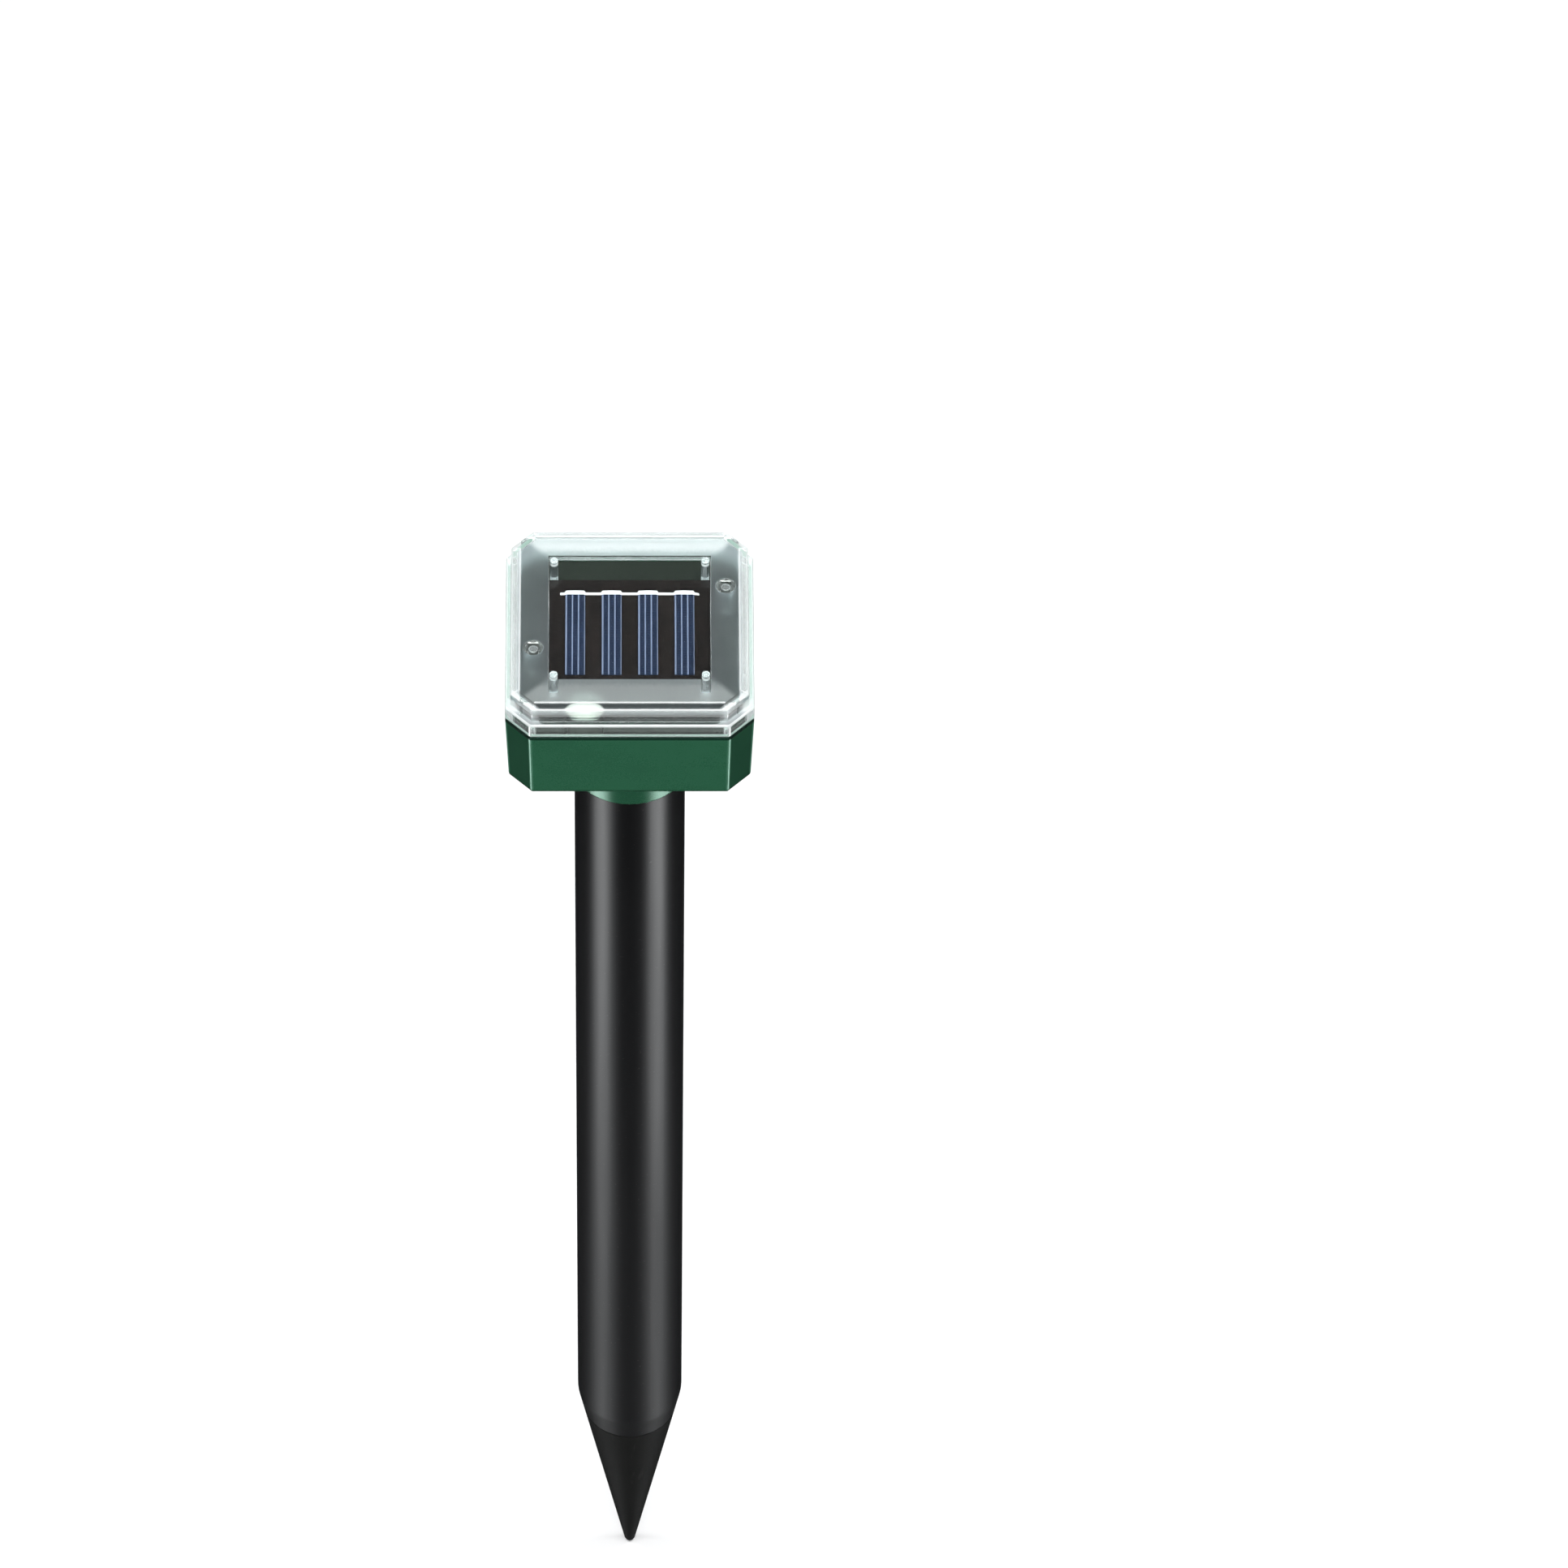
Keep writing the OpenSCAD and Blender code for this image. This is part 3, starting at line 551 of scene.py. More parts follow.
def lid_zones(paint):
    """Masks of the lid's zones, from 0 to 1, and how far a point is past the window's edge."""
    x = paint.math("ABSOLUTE", paint.axis("X"))
    y = paint.axis("Y")
    z = paint.axis("Z")
    far_y = paint.math("ABSOLUTE", y)
    past_side = paint.math("SUBTRACT", x, WINDOW_HALF[0] * MM)
    off_middle = paint.math("ABSOLUTE", paint.math("SUBTRACT", y, WINDOW_Y * MM))
    past_end = paint.math("SUBTRACT", off_middle, WINDOW_HALF[1] * MM)
    past = paint.most(past_side, past_end)
    beside = paint.fade(paint.math("SUBTRACT", past_side, past_end), *BESIDE)
    front = paint.times(paint.inverse(beside), paint.math("LESS_THAN", y, 0.0))
    wall = paint.fade(paint.most(x, far_y), *WALL_REACH)
    inside = paint.inverse(wall)
    off_post = paint.math("ABSOLUTE", paint.math("SUBTRACT", x, POST_X * MM))
    slot = paint.times(paint.fade(off_post, *SLOT_SIDE), front, paint.fade(past_end, *SLOT_END))
    frost = paint.times(paint.fade(past, *FROST_EDGE), paint.layer(*FROST_Z),
                        paint.span(slot, 1.0, SLOT_FROST))
    return SimpleNamespace(
        past=past, beside=beside, front=front, wall=wall, frost=frost,
        corner=paint.times(paint.fade(paint.math("ADD", x, far_y), *CORNER_REACH),
                           paint.fade(z, *WALL_FOOT_Z[:2])),
        pin=paint.times(inside, paint.inverse(paint.fade(z, *FROST_Z[:2]))),
        boss=paint.fade(x, *BOSS_X),
        shaft=paint.layer(*SHAFT_Z),
        ceiling=paint.times(inside, paint.fade(z, *(CEILING_Z + rise for rise in CEILING_RISE))))


def lid_milk(paint, zone, cloud, speckle):
    """Share of light that the lid scatters: its frosting, walls, posts and bosses, with painted highlights
    on the rounded edges, the posts' ends, a band round the wall, and the walls beside and behind.
    """
    frost = paint.times(zone.frost, paint.span(speckle, *FROST_MILK),
                        paint.span(zone.front, 1.0, FRONT_FROST))
    haze = paint.times(paint.span(cloud, *WALL_MILK), paint.span(zone.front, SIDE_HIGHLIGHT_HAZE, 1.0))
    haze = paint.most(haze, paint.times(paint.layer(*BAND_Z), BAND_HIGHLIGHT),
                      paint.times(zone.corner, CORNER_MILK))
    streak = paint.step(paint.noise(1100.0, 2, vector=paint.stretched((1, 1, 0.15))), 0.45, 0.62)
    # painted highlight: the posts' ends white
    pin = paint.most(paint.span(zone.shaft, POST_END_HIGHLIGHT, SHAFT_MILK), paint.times(streak, STREAK_MILK))
    pin = paint.times(pin, paint.span(zone.boss, 1.0, BOSS_SHARE))
    # painted highlight lines on the rounded outer edges
    edge = paint.math("SUBTRACT", paint.attribute("edge"), zone.ceiling, clamp=True)
    return paint.most(frost, paint.times(zone.wall, haze), paint.times(zone.pin, pin),
                      paint.times(edge, EDGE_LINE_HIGHLIGHT))


def lid_tint(paint, zone, cloud, speckle):
    """Colour of the plastic and its frosting, with grey painted shade on the posts' shafts and at the foot
    of the front wall.
    """
    grainy = paint.math("ADD", zone.past, paint.span(speckle, *FROST_GRAIN))
    tint = paint.mix(paint.fade(grainy, *FROST_THICK), THIN_TINT, THICK_TINT)
    tint = paint.mix(zone.beside, tint, paint.mix(cloud, *SIDE_TINTS))
    foot = paint.times(paint.layer(*WALL_FOOT_Z), zone.wall, zone.front)
    # grey painted shade on the posts' shafts and at the foot of the front wall
    grey_shade = paint.most(foot, paint.times(zone.pin, zone.shaft))
    return paint.mix(paint.times(grey_shade, GREY_SHADE_SHARE), paint.mix(zone.frost, CLEAR_TINT, tint), GREY_SHADE_TINT)


def lid_painted_shade(paint, zone):
    """Painted shade: how dark the bevel and the root of the wall look, mostly at the front."""
    bevel = paint.times(paint.attribute("shade"), paint.span(zone.front, SIDE_DARK, 1.0))
    root = paint.times(paint.layer(*ROOT_Z), zone.front, ROOT_DARK, zone.wall)
    return paint.times(paint.most(bevel, root), paint.inverse(zone.corner))


def painted_glow(paint):
    """Painted glow: 1 in the plastic in front of the light, a soft ellipsoid."""
    away = 0.0
    for axis, at, half in zip("XYZ", GLOW_AT, GLOW_HALF):
        off = paint.times(paint.math("SUBTRACT", paint.axis(axis), at * MM), 1 / (half * MM))
        away = paint.math("ADD", paint.times(off, off), away)
    return paint.step(away, 1.0, 0.7)


def clear_paint():
    """Clear moulded lid, frosted on the underside of its top round a clear window.

    The frosting is greyer beside the window, thicker in front, and thin in a slot at each front
    post. The walls are faintly hazy. Painted highlights: white on the rounded outer edges, the
    posts' ends and a band round the wall, and milkier walls beside and behind. Painted shade: black
    on the bevel in front and at the wall's root, grey on the posts and at the foot of the front
    wall. The plastic before the light has a painted glow. Shadow rays pass, so lamps reach what is
    inside.
    """
    paint = Paint("clear_lid")
    paint.shader((0.93, 0.97, 0.955), 0.03, 0.5, IOR=1.49)
    zone = lid_zones(paint)
    cloud = paint.noise(120.0, 3)
    speckle = paint.noise(1500.0, 3, 0.6)
    glow = painted_glow(paint)
    # painted shade on the bevel and the wall's root, taken away in the painted glow
    dark = paint.times(lid_painted_shade(paint, zone), paint.inverse(glow))
    paint.to("Transmission Weight", paint.inverse(lid_milk(paint, zone, cloud, speckle)))
    paint.to("Roughness", paint.most(0.02, paint.times(zone.frost, paint.span(cloud, 0.30, 0.42))))
    paint.to("Base Color", paint.mix(dark, lid_tint(paint, zone, cloud, speckle), BLACK_SHADE_TINT))
    # painted glow of the light in the plastic in front of it
    paint.to("Emission Color", paint.mix(glow, (0, 0, 0), (0.92, 1.0, 0.84)))
    paint.to("Emission Strength", GLOW_PAINT_STRENGTH)
    paint.to("Normal", paint.bump(paint.times(speckle, zone.frost), 0.05, 0.5))
    paint.lets_lamps_through((0.82, 0.86, 0.85))
    return paint.material


# -------------------------------- materials of the inner parts

LED_GLOW = 0.75
LED_LIT_HALF = (1.05, 0.3)  # sideways from the lens's middle, in radii: none, full
LED_LIT_Y = (-1.6, -3.4)  # from its middle, forwards
LED_LIT_Z = (-0.6, 0.0)  # from the foot of its cap
FINGER_PITCH = 0.9
FINGER_SHARE = 0.09  # width of a silver finger, as a share of the pitch
TRACK_PITCH = (2.54, 3.81)  # along X and Y
TRACK_SHARE = (0.22, 0.14)
TURN_PITCH = 0.35


def waves(paint, axis, pitch):
    """0 to 1 again and again along an axis, once for each pitch in millimetres."""
    return paint.math("FRACT", paint.times(paint.axis(axis), 1 / (pitch * MM)))


def panel_paint():
    """Black board under a film of clear resin."""
    paint = Paint("panel_black")
    paint.shader((0.012, 0.010, 0.010), 0.2, 0.25, Coat_Weight=0.3, Coat_Roughness=0.05)
    warm = paint.noise(160.0, 3)
    paint.to("Base Color", paint.mix(warm, (0.006, 0.006, 0.006), (0.016, 0.012, 0.011)))
    paint.to("Roughness", paint.span(paint.noise(900.0, 2), 0.15, 0.26))
    paint.to("Normal", paint.bump(paint.noise(90.0, 2), 0.04, 0.1))
    return paint.material


def solar_paint():
    """Blue polycrystalline silicon: crystal facets and fine silver fingers across the strip."""
    paint = Paint("solar_blue")
    paint.shader((0.005, 0.010, 0.028), 0.3, 0.4, Coat_Weight=0.3, Coat_Roughness=0.05)
    facets = paint.add("ShaderNodeTexVoronoi", "Color", Vector=paint.stretched((1, 0.55, 1)), Scale=900.0)
    tone = paint.axis("X", facets)
    blue = paint.mix(tone, (0.004, 0.009, 0.024), (0.006, 0.012, 0.031))
    finger = paint.math("LESS_THAN", waves(paint, "Y", FINGER_PITCH), FINGER_SHARE)
    paint.to("Base Color", paint.mix(paint.times(finger, 0.08), blue, (0.30, 0.36, 0.50)))
    paint.to("Roughness", paint.span(tone, 0.30, 0.36))
    paint.to("Normal", paint.bump(tone, 0.004, 0.3))
    return paint.material


def board_paint():
    """Green circuit board with copper tracks showing through the lacquer."""
    paint = Paint("board_green")
    paint.shader((0.01, 0.10, 0.035), 0.3, 0.5, Coat_Weight=0.5, Coat_Roughness=0.15)
    track = paint.most(*(paint.math("LESS_THAN", waves(paint, axis, pitch), share)
                         for axis, pitch, share in zip("XY", TRACK_PITCH, TRACK_SHARE)))
    patch = paint.times(track, paint.step(paint.noise(140.0, 1), 0.45, 0.5))
    paint.to("Base Color", paint.mix(patch, (0.008, 0.085, 0.03), (0.03, 0.17, 0.05)))
    paint.to("Normal", paint.bump(track, 0.03, 0.5))
    return paint.material


def winding_paint():
    """Enamelled copper wire wound in close turns."""
    paint = Paint("copper")
    paint.shader((0.55, 0.22, 0.08), 0.3, Metallic=1.0)
    round_turn = paint.math("PINGPONG", waves(paint, "Z", TURN_PITCH), 0.5)
    stain = paint.noise(300.0, 3)
    paint.to("Base Color", paint.mix(stain, (0.42, 0.15, 0.05), (0.62, 0.26, 0.10)))
    paint.to("Normal", paint.bump(round_turn, 0.15, 0.8))
    return paint.material


def led_paint():
    """Lit diffused lens: the front of its cap glows, and the body below stays dark."""
    paint = Paint("led_lens")
    paint.shader((0.80, 0.88, 0.78), 0.3, 0.5, Transmission_Weight=0.35, Emission_Strength=LED_GLOW)
    off_x = paint.math("ABSOLUTE", paint.math("SUBTRACT", paint.axis("X"), LED_X * MM))
    near = paint.fade(off_x, *(share * LED_R for share in LED_LIT_HALF))
    front = paint.fade(paint.axis("Y"), *(LED_Y + off for off in LED_LIT_Y))
    high = paint.fade(paint.axis("Z"), *(LED_HIGH.z - LED_CAP_H + rise for rise in LED_LIT_Z))
    swirl = paint.span(paint.noise(500.0, 2), 0.85, 1.1)
    light = paint.times(near, high, front, swirl)
    paint.to("Emission Color", paint.mix(light, (0.01, 0.014, 0.01), (0.80, 1.0, 0.84)))
    body = paint.mix(high, (0.03, 0.04, 0.03), (0.14, 0.17, 0.15))
    paint.to("Base Color", paint.mix(swirl, (0.02, 0.03, 0.02), body))
    return paint.material


def cone_paint():
    """Pressed paper with fibres."""
    paint = Paint("cone_paper")
    paint.shader((0.05, 0.04, 0.03), 0.85, 0.2)
    fibre = paint.noise(1500.0, 5, 0.7, paint.stretched((1, 0.3, 1)))
    paint.to("Base Color", paint.mix(fibre, (0.03, 0.025, 0.02), (0.09, 0.07, 0.05)))
    paint.to("Normal", paint.bump(fibre, 0.05, 0.6))
    return paint.material


def line_paint():
    """Printed silver paste, slightly blue under the resin."""
    paint = Paint("cell_line")
    paint.shader((0.14, 0.16, 0.24), 0.35, 0.3)
    grain = paint.noise(2500.0, 3)
    paint.to("Base Color", paint.mix(grain, (0.10, 0.125, 0.19), (0.17, 0.20, 0.29)))
    paint.to("Roughness", paint.span(grain, 0.3, 0.5))
    return paint.material


def make_materials():
    """The materials by name: one for each slot of the record, and one for the printed lines."""
    return {
        "green_shell": moulded("green_shell", GREEN, 0.28, 0.30, 0.012, EDGE_HIGHLIGHT,
                               specular=0.25, Specular_Tint=(0.35, 1.0, 0.7, 1)),
        "clear_lid": clear_paint(),
        "seal_rubber": rubber("seal_rubber", (0.012, 0.016, 0.014)),
        "seal_pale": seal_paint(),
        "screw_steel": metal("screw_steel", (0.60, 0.60, 0.58), 0.32),
        "panel_black": panel_paint(),
        "solar_blue": solar_paint(),
        "ribbon_tin": solder("ribbon_tin"),
        "foam": rubber("foam", (0.03, 0.03, 0.03)),
        "wire_red": moulded("wire_red", (0.32, 0.015, 0.012), 0.45),
        "tray_black": moulded("tray_black", (0.009, 0.013, 0.009), 0.5, 0.4, 0.02, specular=0.2),
        "led_lens": led_paint(),
        "board_green": board_paint(),
        "chip_black": moulded("chip_black", (0.015, 0.015, 0.016), 0.5),
        "part_tan": moulded("part_tan", (0.28, 0.20, 0.10), 0.4),
        "cap_sleeve": moulded("cap_sleeve", (0.015, 0.025, 0.05), 0.3),
        "copper": winding_paint(),
        "inner_black": moulded("inner_black", (0.018, 0.018, 0.019), 0.5),
        "button_dark": rubber("button_dark", (0.016, 0.018, 0.020)),
        "cell_wrap": moulded("cell_wrap", (0.04, 0.22, 0.07), 0.3),
        "tube_black": tube_paint(),
        "spike_black": spike_paint(),
        "magnet": moulded("magnet", (0.04, 0.04, 0.042), 0.65, 0.5, 0.03),
        "cone_paper": cone_paint(),
        "cell_line": line_paint(),
    }


def paint_cad_nodes(materials):
    """Gives every carried-over CAD node the material of its slot."""
    for part in frame["record"]["subparts"]:
        mesh = frame["nodes"][part["node"]].data
        mesh.materials.clear()
        mesh.materials.append(materials[part["material_slot"]])


# -------------------------------- shared mesh shapes

SUPPORT = 0.35  # a flat keeps its own shading up to this far from a rounded edge
ARC_END = 0.6  # edge mark of the points where an arc meets its flats
SMOOTH = 32  # degrees between faces up to which their edge is shaded smooth
LEVEL = 0.9999  # upright part of the normal from which a face counts as level


def rounded(points, steps=4):
    """A polyline of (a, b, radius) corners as (a, b, edge), where each corner with a radius is an arc.

    edge is 1 on an arc, ARC_END at its ends and 0 elsewhere. A point on each side of an arc holds
    the flat beside it flat.
    """
    out = []
    for i, (a, b, radius) in enumerate(points):
        here = Vector((a, b))
        if radius <= 0 or i in (0, len(points) - 1):
            out.append((a, b, 0.0))
            continue
        before, after = Vector(points[i - 1][:2]) - here, Vector(points[i + 1][:2]) - here
        into, away = before.normalized(), after.normalized()
        half = into.angle(away) / 2
        cut = radius / math.tan(half)
        centre = here + (into + away).normalized() * (radius / math.sin(half))
        start = here + into * cut - centre
        turn = start.angle_signed(here + away * cut - centre)
        if before.length > cut + 3 * SUPPORT:
            out.append((*(here + into * (cut + SUPPORT)), 0.0))
        for k in range(steps + 1):
            angle = -turn * k / steps
            cos, sin = math.cos(angle), math.sin(angle)
            spot = centre + Vector((start.x * cos - start.y * sin, start.x * sin + start.y * cos))
            out.append((*spot, 1.0 if 0 < k < steps else ARC_END))
        if after.length > cut + 3 * SUPPORT:
            out.append((*(here + away * (cut + SUPPORT)), 0.0))
    return out


FLAT_STEPS = 10
CUT_STEPS = 3
ARC_STEPS = 4
CORNER_R = 0.9
LEAST_CORNER_R = 0.25
CORNER_R_LOSS = 0.15  # how much smaller the corners get for each millimetre inwards


def octagon(inset, corner_r=CORNER_R):
    """Points (x, y, edge, shade) of the head's outline moved in by inset, its eight corners rounded.

    edge is 1 on a rounded corner and ARC_END at its ends, and shade is 1 on the faces that cut the
    corners off, which get painted shade.
    """
    half = HALF_W - inset
    cut = CORNER_CUT - inset * (2 - math.sqrt(2))
    corners = []
    for quarter in range(4):
        angle = math.radians(90 * quarter)
        for x, y in ((half, cut - half), (half, half - cut)):
            corners.append(Vector((x * math.cos(angle) - y * math.sin(angle),
                                   x * math.sin(angle) + y * math.cos(angle))))
    turn = math.radians(45)
    back = corner_r * math.tan(turn / 2)
    points = []
    for i, corner in enumerate(corners):
        before = (corner - corners[i - 1]).normalized()
        after = (corners[(i + 1) % 8] - corner).normalized()
        inward = Vector((-before.y, before.x))
        centre = corner - before * back + inward * corner_r
        for k in range(ARC_STEPS + 1):
            angle = turn * k / ARC_STEPS
            spoke = -inward * math.cos(angle) + before * math.sin(angle)
            edge = 1.0 if 0 < k < ARC_STEPS else ARC_END
            points.append((*(centre + spoke * corner_r), edge, 0.0))
        start = corner + after * back
        run = corners[(i + 1) % 8] - after * back - start
        on_cut = float(i % 2)
        steps = CUT_STEPS if on_cut else FLAT_STEPS
        support = min(SUPPORT / run.length, 0.2)
        shares = [support] + [k / steps for k in range(1, steps)] + [1 - support]
        points += [(*(start + run * share), 0.0, on_cut) for share in sorted(shares)]
    return points


def oct_ring(inset, z, fade=0.0, line=0.0, shade=None):
    """The outline at a height, as (x, y, z, edge, shade).

    fade takes its corners' edge mark away, line marks it as an edge all the way round, and shade
    sets that mark all the way round.
    """
    corner_r = max(LEAST_CORNER_R, CORNER_R - CORNER_R_LOSS * max(0.0, inset))
    return [(x, y, z, max(edge * (1 - fade), line), on_cut if shade is None else shade)
            for x, y, edge, on_cut in octagon(inset, corner_r)]


def round_ring(radius, z):
    """A circle with its points at the same bearings as the outline's."""
    ring = []
    for x, y, _, _ in octagon(0):
        scale = radius / math.hypot(x, y)
        ring.append((x * scale, y * scale, z, 0.0, 0.0))
    return ring


def mesh_object(name, verts, faces, smooth=SMOOTH, **marks):
    """A mesh piece from millimetre points, normals outward, with a named value for each point."""
    mesh = bpy.data.meshes.new(name)
    mesh.from_pydata([(x * MM, y * MM, z * MM) for x, y, z in verts], [], faces)
    for mark, values in marks.items():
        mesh.attributes.new(mark, "FLOAT", "POINT").data.foreach_set("value", values)
    made = bmesh.new()
    made.from_mesh(mesh)
    bmesh.ops.recalc_face_normals(made, faces=made.faces)
    made.to_mesh(mesh)
    made.free()
    mesh.polygons.foreach_set("use_smooth", [True] * len(mesh.polygons))
    mesh.set_sharp_from_angle(angle=math.radians(smooth))
    obj = bpy.data.objects.new(name, mesh)
    bpy.context.scene.collection.objects.link(obj)
    return obj


def skin(rings, count, looped=False):
    """Faces between rings of count points each, looped or capped at both ends."""
    faces = []
    for i in range(rings if looped else rings - 1):
        a, b = i * count, (i + 1) % rings * count
        faces += [(a + k, a + (k + 1) % count, b + (k + 1) % count, b + k) for k in range(count)]
    if not looped:
        faces += [tuple(range(count)), tuple((rings - 1) * count + k for k in range(count))]
    return faces


def box_rings(low, high, levels):
    """Points of a box between two (x, y) corners, in a ring of four for each (inset, z) level."""
    return [(x, y, z) for inset, z in levels
            for x, y in ((low[0] + inset, low[1] + inset), (high[0] - inset, low[1] + inset),
                         (high[0] - inset, high[1] - inset), (low[0] + inset, high[1] - inset))]


def loft(name, rings, looped=False, smooth=SMOOTH):
    """Joins rings of (x, y, z, edge, shade) into a closed skin, looped or capped at both ends."""
    points = [point for ring in rings for point in ring]
    return mesh_object(name, [p[:3] for p in points], skin(len(rings), len(rings[0]), looped), smooth,
                       edge=[p[3] for p in points], shade=[p[4] for p in points])


def lathe(name, profile, at=(0, 0), steps=96, smooth=SMOOTH, looped=False):
    """Turns a profile of (radius, z, edge) about an upright axis. Points on the axis are merged."""
    angles = [math.tau * k / steps for k in range(steps)]
    rings = [[(at[0] + r * math.cos(angle), at[1] + r * math.sin(angle), z, edge, 0.0)
              for angle in angles] for r, z, edge in profile]
    obj = loft(name, rings, looped, smooth)
    made = bmesh.new()
    made.from_mesh(obj.data)
    bmesh.ops.remove_doubles(made, verts=made.verts, dist=1e-6)
    bmesh.ops.dissolve_degenerate(made, edges=made.edges, dist=1e-7)
    bmesh.ops.recalc_face_normals(made, faces=made.faces)
    made.to_mesh(obj.data)
    made.free()
    obj.data.set_sharp_from_angle(angle=math.radians(smooth))
    return obj


def cylinder(name, at, radius, low, high):
    return lathe(name, [(radius, low, 0.0), (radius, high, 0.0)], at, 40)


def boolean(obj, others, operation):
    """Joins or cuts other meshes into obj and deletes them. Level faces are shaded flat."""
    for other in others:
        cut = obj.modifiers.new("cut", "BOOLEAN")
        cut.operation = operation
        cut.solver = "EXACT"
        cut.object = other
        bpy.context.view_layer.update()
        graph = bpy.context.evaluated_depsgraph_get()
        result = bpy.data.meshes.new_from_object(obj.evaluated_get(graph))
        obj.modifiers.clear()
        obj.data = result
        bpy.data.objects.remove(other)
    obj.data.polygons.foreach_set("use_smooth", [abs(p.normal.z) < LEVEL for p in obj.data.polygons])
    obj.data.set_sharp_from_angle(angle=math.radians(SMOOTH))


def finish_piece(obj, material, body, slot, *nodes):
    """Gives a piece its material and its body, and hides the CAD nodes that it stands for; its slot is not
    used.
    """
    obj.data.materials.clear()
    obj.data.materials.append(material)
    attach(obj, body)
    if nodes:
        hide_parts(*nodes)


# -------------------------------- head: housing and lid

RIM_SHADE = 2.0  # shade mark of the housing's rim, which turns it black: painted shade under the lid's flange
RIM_H = 0.6
NEAR = 0.01  # heights closer than this count as the same
OVERLAP = 1.0  # how far a cut runs past the wall that it goes through
POCKET_ROOF = 2.4  # thickness of a tunnel's foot over its screw pocket
PILLAR_ROOT = 0.6  # how far a pillar runs into the floor that it stands on
POST_ROOT_Z = CEILING_Z + 0.5
POST_FLARE = 0.5  # how much wider a post or boss is where it meets the ceiling
PAD_H = 0.25
PAD_BEVEL = 0.2
PAD_ROOT = 0.3
OUTSIDE = 0.7  # a ring this near the lid's outer faces is an outer one
BEVEL_MARGIN = 0.3
ROOT_H = 0.6  # height of the wall's root, over the ledge


def make_housing(materials):
    """Green shell: neck, rounded underside, leaning sides and a hollow inside, as one skin."""
    neck = rounded([
        (NECK_BORE_R, NECK_RIM_Z + 4, 0), (NECK_BORE_R, NECK_RIM_Z, 0.35), (NECK_R, NECK_RIM_Z, 0.6),
        (NECK_R, HEAD_Z, 1.3), (NECK_R + 4, HEAD_Z, 0)])
    shell = rounded([
        (DRAFT + 6, HEAD_Z, 0), (DRAFT, HEAD_Z, 1.8), (0, RIM_Z, 0.35), (WALL, RIM_Z, 0.3),
        (WALL + DRAFT, FLOOR_Z, 0.8), (WALL + DRAFT + 5, FLOOR_Z, 0)], 5)
    rings = [round_ring(r, z) for r, z, _ in neck]
    for inset, z, edge in shell:
        under = z < HEAD_Z + NEAR
        # the rim gets black painted shade, the cut corner faces their painted shade, the underside none
        shade = RIM_SHADE if z > RIM_Z - RIM_H else 0.0 if under else None
        rings.append(oct_ring(inset, z, 1.0 if under else edge, shade=shade))
    rings += [round_ring(LEAD_HOLE_R + 1, FLOOR_Z), round_ring(LEAD_HOLE_R, FLOOR_Z),
              round_ring(LEAD_HOLE_R, HEAD_Z), round_ring(NECK_BORE_R, HEAD_Z)]
    housing = loft("housing_shell", rings, looped=True)
    root = FLOOR_Z - PILLAR_ROOT
    posts = [cylinder("pillar", at, PILLAR_R, root, BOARD_Z) for at in PILLARS]
    posts += [cylinder("tunnel", at, TUNNEL_R, root, TRAY_LOW.z) for at in BOSSES]
    posts += [cylinder("foot", at, TUNNEL_FOOT_R, root, SCREW_POCKET_Z + POCKET_ROOF) for at in BOSSES]
    boolean(housing, posts, "UNION")
    cuts = [cylinder("pocket", at, SCREW_POCKET_R, HEAD_Z - OVERLAP, SCREW_POCKET_Z) for at in BOSSES]
    cuts += [cylinder("hole", at, SCREW_HOLE_R, HEAD_Z, TRAY_LOW.z + OVERLAP) for at in BOSSES]
    cuts += [cylinder("button_hole", BUTTON, BUTTON_HOLE_R, HEAD_Z - OVERLAP, FLOOR_Z + OVERLAP)]
    boolean(housing, cuts, "DIFFERENCE")
    finish_piece(housing, materials["green_shell"], "head", "green_shell", "housing")


def window_pad():
    """The polished window stands slightly proud of the frosting under the lid's top."""
    half_x, half_y = WINDOW_HALF
    low = CEILING_Z - PAD_H
    levels = [(PAD_BEVEL, low), (0.0, low + PAD_BEVEL), (0.0, CEILING_Z + PAD_ROOT)]
    verts = box_rings((-half_x, WINDOW_Y - half_y), (half_x, WINDOW_Y + half_y), levels)
    return mesh_object("window_pad", verts, skin(len(levels), 4))


def lid_ring(inset, z, edge):
    """One ring of the lid's skin, with its marks.

    Only outer edges are marked, for painted white highlight lines, and not on level faces or where the
    wall rises from the ledge. The bevel is marked for painted shade.
    """
    outside = inset < LEDGE_W + OUTSIDE or z > TOP_Z - OUTSIDE
    on_bevel = BEVEL_MARGIN < inset - LEDGE_W < BEVEL_W - BEVEL_MARGIN and z > TOP_Z - BEVEL_H
    level = z > TOP_Z - 0.001 or z > CEILING_Z - NEAR and not outside
    at_root = inset < LEDGE_W + 0.1 and LEDGE_Z - 0.05 < z < LEDGE_Z + ROOT_H
    plain = level or at_root
    return oct_ring(inset, z, float(plain), edge if outside and not plain else 0.0, float(on_bevel))


def post_root(radius):
    """Corners where a post or boss flares into the ceiling."""
    return [(radius, CEILING_Z, 0.25), (radius + POST_FLARE, CEILING_Z, 0),
            (radius + POST_FLARE, POST_ROOT_Z, 0), (0, POST_ROOT_Z, 0)]


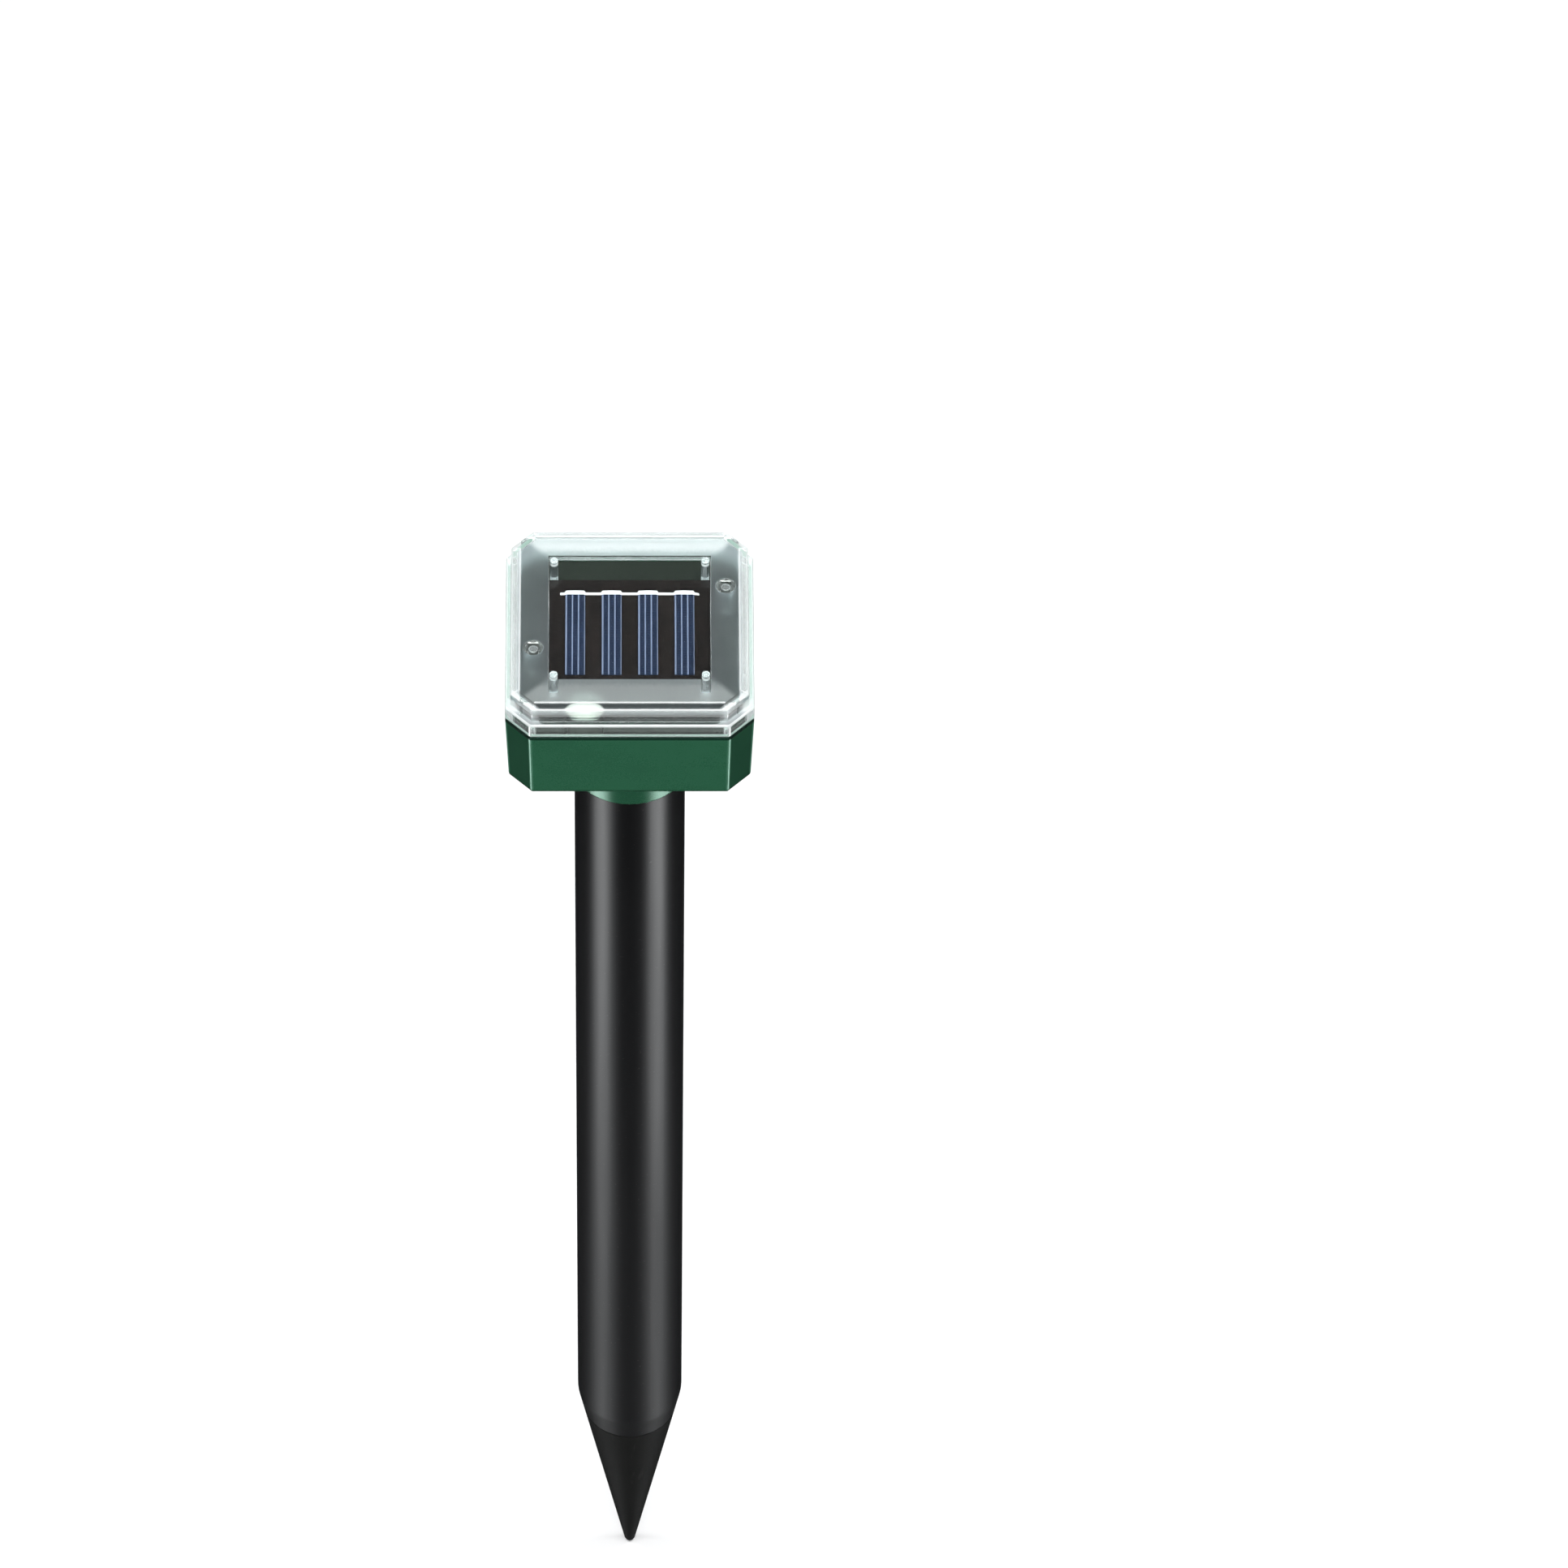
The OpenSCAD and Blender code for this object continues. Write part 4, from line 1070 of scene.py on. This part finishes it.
def make_lid(materials):
    """Clear lid: flange, ledge, wall, shallow bevel and top, hollow below, with posts and bosses."""
    inner = LEDGE_W + LID_T
    foot = SEAM_Z - TONGUE_H
    profile = rounded([
        (inner + 1.6, CEILING_Z, 0), (inner, CEILING_Z, 0.8), (inner, foot, 0.2),
        (TONGUE_IN, foot, 0.2), (TONGUE_IN, SEAM_Z, 0.2), (0, SEAM_Z, 0.3), (0, LEDGE_Z, 0.7),
        (LEDGE_W, LEDGE_Z, 0.4), (LEDGE_W, TOP_Z - BEVEL_H, 0.55), (LEDGE_W + BEVEL_W, TOP_Z, 2.2),
        (LEDGE_W + BEVEL_W + 1.2, TOP_Z, 0)])
    lid = loft("lid_shell", [lid_ring(inset, z, edge) for inset, z, edge in profile])
    end = TRAY_HIGH.z + 0.3
    post = rounded([(0, end, 0), (POST_R, end, 0.3)] + post_root(POST_R))
    end = TRAY_HIGH.z + 0.1
    boss = rounded([(0, CEILING_Z - 1, 0), (BOSS_BORE_R, CEILING_Z - 1, 0.3), (BOSS_BORE_R, end, 0.15),
                    (BOSS_R, end, 0.2)] + post_root(BOSS_R))
    posts = [lathe("post", post, at, 32) for at in POSTS]
    posts += [lathe("boss", boss, at, 40) for at in BOSSES]
    boolean(lid, posts, "UNION")
    boolean(lid, [window_pad()], "UNION")
    finish_piece(lid, materials["clear_lid"], "head", "clear_lid", "clear_lid")


# -------------------------------- head: light, ribbon and lines

def make_led(materials):
    """Wide lens with a low dome, a rounded shoulder and a foot rim."""
    waist = LED_R - 0.2
    shoulder = LED_HIGH.z - LED_CAP_H
    cap_r = (waist ** 2 + LED_CAP_H ** 2) / (2 * LED_CAP_H)
    spread = math.asin(waist / cap_r)
    profile = rounded([(0, LED_LOW.z, 0), (LED_R, LED_LOW.z, 0.2), (LED_R, LED_LOW.z + 1, 0.2),
                       (waist, LED_LOW.z + 1.1, 0), (waist, shoulder, 0)])
    steps = 12
    for k in range(1, steps + 1):
        angle = spread * (1 - k / steps)
        profile.append((cap_r * math.sin(angle), LED_HIGH.z - cap_r * (1 - math.cos(angle)), 0))
    lens = lathe("led_lens", profile, (LED_X, LED_Y), 48, smooth=40)
    finish_piece(lens, materials["led_lens"], "head", "led_lens", "status_led")


STRIP_COUNT = 4
STRIP_W = 5.4
STRIP_PITCH = (CELLS_HIGH.x - CELLS_LOW.x - STRIP_W) / (STRIP_COUNT - 1)
STRIPS = [(i - (STRIP_COUNT - 1) / 2) * STRIP_PITCH for i in range(STRIP_COUNT)]
LINES = [(-2.36, 0.42), (-0.72, 0.36), (0.92, 0.36), (2.55, 0.2)]  # place across a strip, and width
LINE_H = 0.05
LINE_BEVEL = 0.02
RIBBON_SIDES = 10


def make_lines(materials):
    """Silver collector lines printed along each strip."""
    top = CELLS_HIGH.z + LINE_H
    levels = [(0, CELLS_HIGH.z), (0, top - LINE_BEVEL), (LINE_BEVEL, top)]
    verts, faces = [], []
    for middle in STRIPS:
        for place, width in LINES:
            low = (middle + place - width / 2, CELLS_LOW.y + 0.15)
            high = (middle + place + width / 2, CELLS_HIGH.y - 0.2)
            faces += [tuple(k + len(verts) for k in face) for face in skin(len(levels), 4)]
            verts += box_rings(low, high, levels)
    lines = mesh_object("cell_lines", verts, faces)
    finish_piece(lines, materials["cell_line"], "head", "ribbon_tin")


def make_ribbon(materials):
    """Tinned ribbon soldered over the rear ends of the strips, sagging between them."""
    middle_y = (RIBBON_LOW.y + RIBBON_HIGH.y) / 2
    pad_half = (STRIP_W - 0.6) / 2
    ramp = pad_half + 0.45
    path = [(RIBBON_LOW.x, -0.42, 0.0, 0.42)]  # x, shift rearwards, lift and half width
    for x in STRIPS:
        path += [(x - ramp, -0.40, 0.02, 0.42), (x - pad_half, 0.0, 0.12, 0.66), (x, 0.02, 0.14, 0.70),
                 (x + pad_half, 0.0, 0.12, 0.66), (x + ramp, -0.38, 0.02, 0.42)]
    path += [(RIBBON_HIGH.x - 0.6, -0.40, 0.0, 0.42), (RIBBON_HIGH.x, -0.62, 0.0, 0.34)]
    verts = []
    for x, shift, lift, half in path:
        for k in range(RIBBON_SIDES):
            angle = math.tau * k / RIBBON_SIDES
            verts.append((x, middle_y + shift + half * math.cos(angle),
                          PANEL_HIGH.z + 0.14 + lift + (0.12 + lift * 0.4) * math.sin(angle)))
    ribbon = mesh_object("ribbon_wire", verts, skin(len(path), RIBBON_SIDES), smooth=50)
    finish_piece(ribbon, materials["ribbon_tin"], "head", "ribbon_tin", "cell_ribbons")


# -------------------------------- stake

def make_tube(materials):
    """Black tube with soft ends, rolled in at the bottom."""
    low = TUBE_LOW.z
    profile = rounded([
        (TUBE_IN_R, TUBE_HIGH.z - 20, 0), (TUBE_IN_R, TUBE_HIGH.z, 0.3), (TUBE_R, TUBE_HIGH.z, 0.35),
        (TUBE_R, TAPER_Z, 14), (TUBE_R - TAPER_IN, low, 0.3), (TUBE_IN_R - TAPER_IN, low, 0.3),
        (TUBE_IN_R, TAPER_Z, 5), (TUBE_IN_R, TAPER_Z + 20, 0)], 5)
    tube = lathe("tube_skin", profile, steps=128, smooth=30, looped=True)
    finish_piece(tube, materials["tube_black"], "stake", "tube_black", "stake_tube")


def make_spike(materials):
    """Moulded spike with a rounded shoulder and tip, and its hollow plug inside the tube."""
    low = TUBE_LOW.z
    plug_r = TUBE_IN_R - 0.05
    profile = rounded([
        (0, TIP_Z, 0), (TIP_R * 0.62, TIP_Z, TIP_R * 0.45), (TIP_R * 0.93, TIP_Z + 1.25, 0.6),
        (TUBE_R - TAPER_IN, low - 0.02, 0.35), (plug_r - TAPER_IN, low, 0),
        (plug_r, TAPER_Z, 0), (plug_r, SPIKE_HIGH.z, 0.4), (plug_r - 2, SPIKE_HIGH.z, 0.4),
        (plug_r - 4, low - 2, 0), (3, low - 38, 1.5), (0, low - 40, 0)], 5)
    spike = lathe("spike_skin", profile)
    finish_piece(spike, materials["spike_black"], "stake", "spike_black", "ground_spike")


def make_button(materials):
    """Soft push button with a dished face and two grip rings."""
    r = BUTTON_HOLE_R - 0.3
    low = BUTTON_LOW.z
    flange = BUTTON_HIGH.x
    floor_top = FLOOR_Z + 0.2
    profile = rounded([
        (0, low + 0.35, 0), (r * 0.45, low + 0.3, 0.8), (r * 0.62, low, 0.3), (r, low, 0.45),
        (r, low + 1.1, 0.1), (r - 0.25, low + 1.25, 0.1), (r, low + 1.4, 0.1),
        (r, floor_top, 0), (flange, floor_top, 0.1), (flange, floor_top + 0.8, 0.1),
        (1.5, floor_top + 0.8, 0), (1.5, BUTTON_HIGH.z, 0.2), (0, BUTTON_HIGH.z, 0)], 3)
    button = lathe("button_cap", profile, BUTTON, 48)
    finish_piece(button, materials["button_dark"], "button", "button_dark", "power_button")


# -------------------------------- the scene

def main():
    make_camera()
    make_lights()
    make_world()
    make_floor()
    materials = make_materials()
    paint_cad_nodes(materials)
    make_housing(materials)
    make_lid(materials)
    make_led(materials)
    make_lines(materials)
    make_ribbon(materials)
    make_tube(materials)
    make_spike(materials)
    make_button(materials)


main()
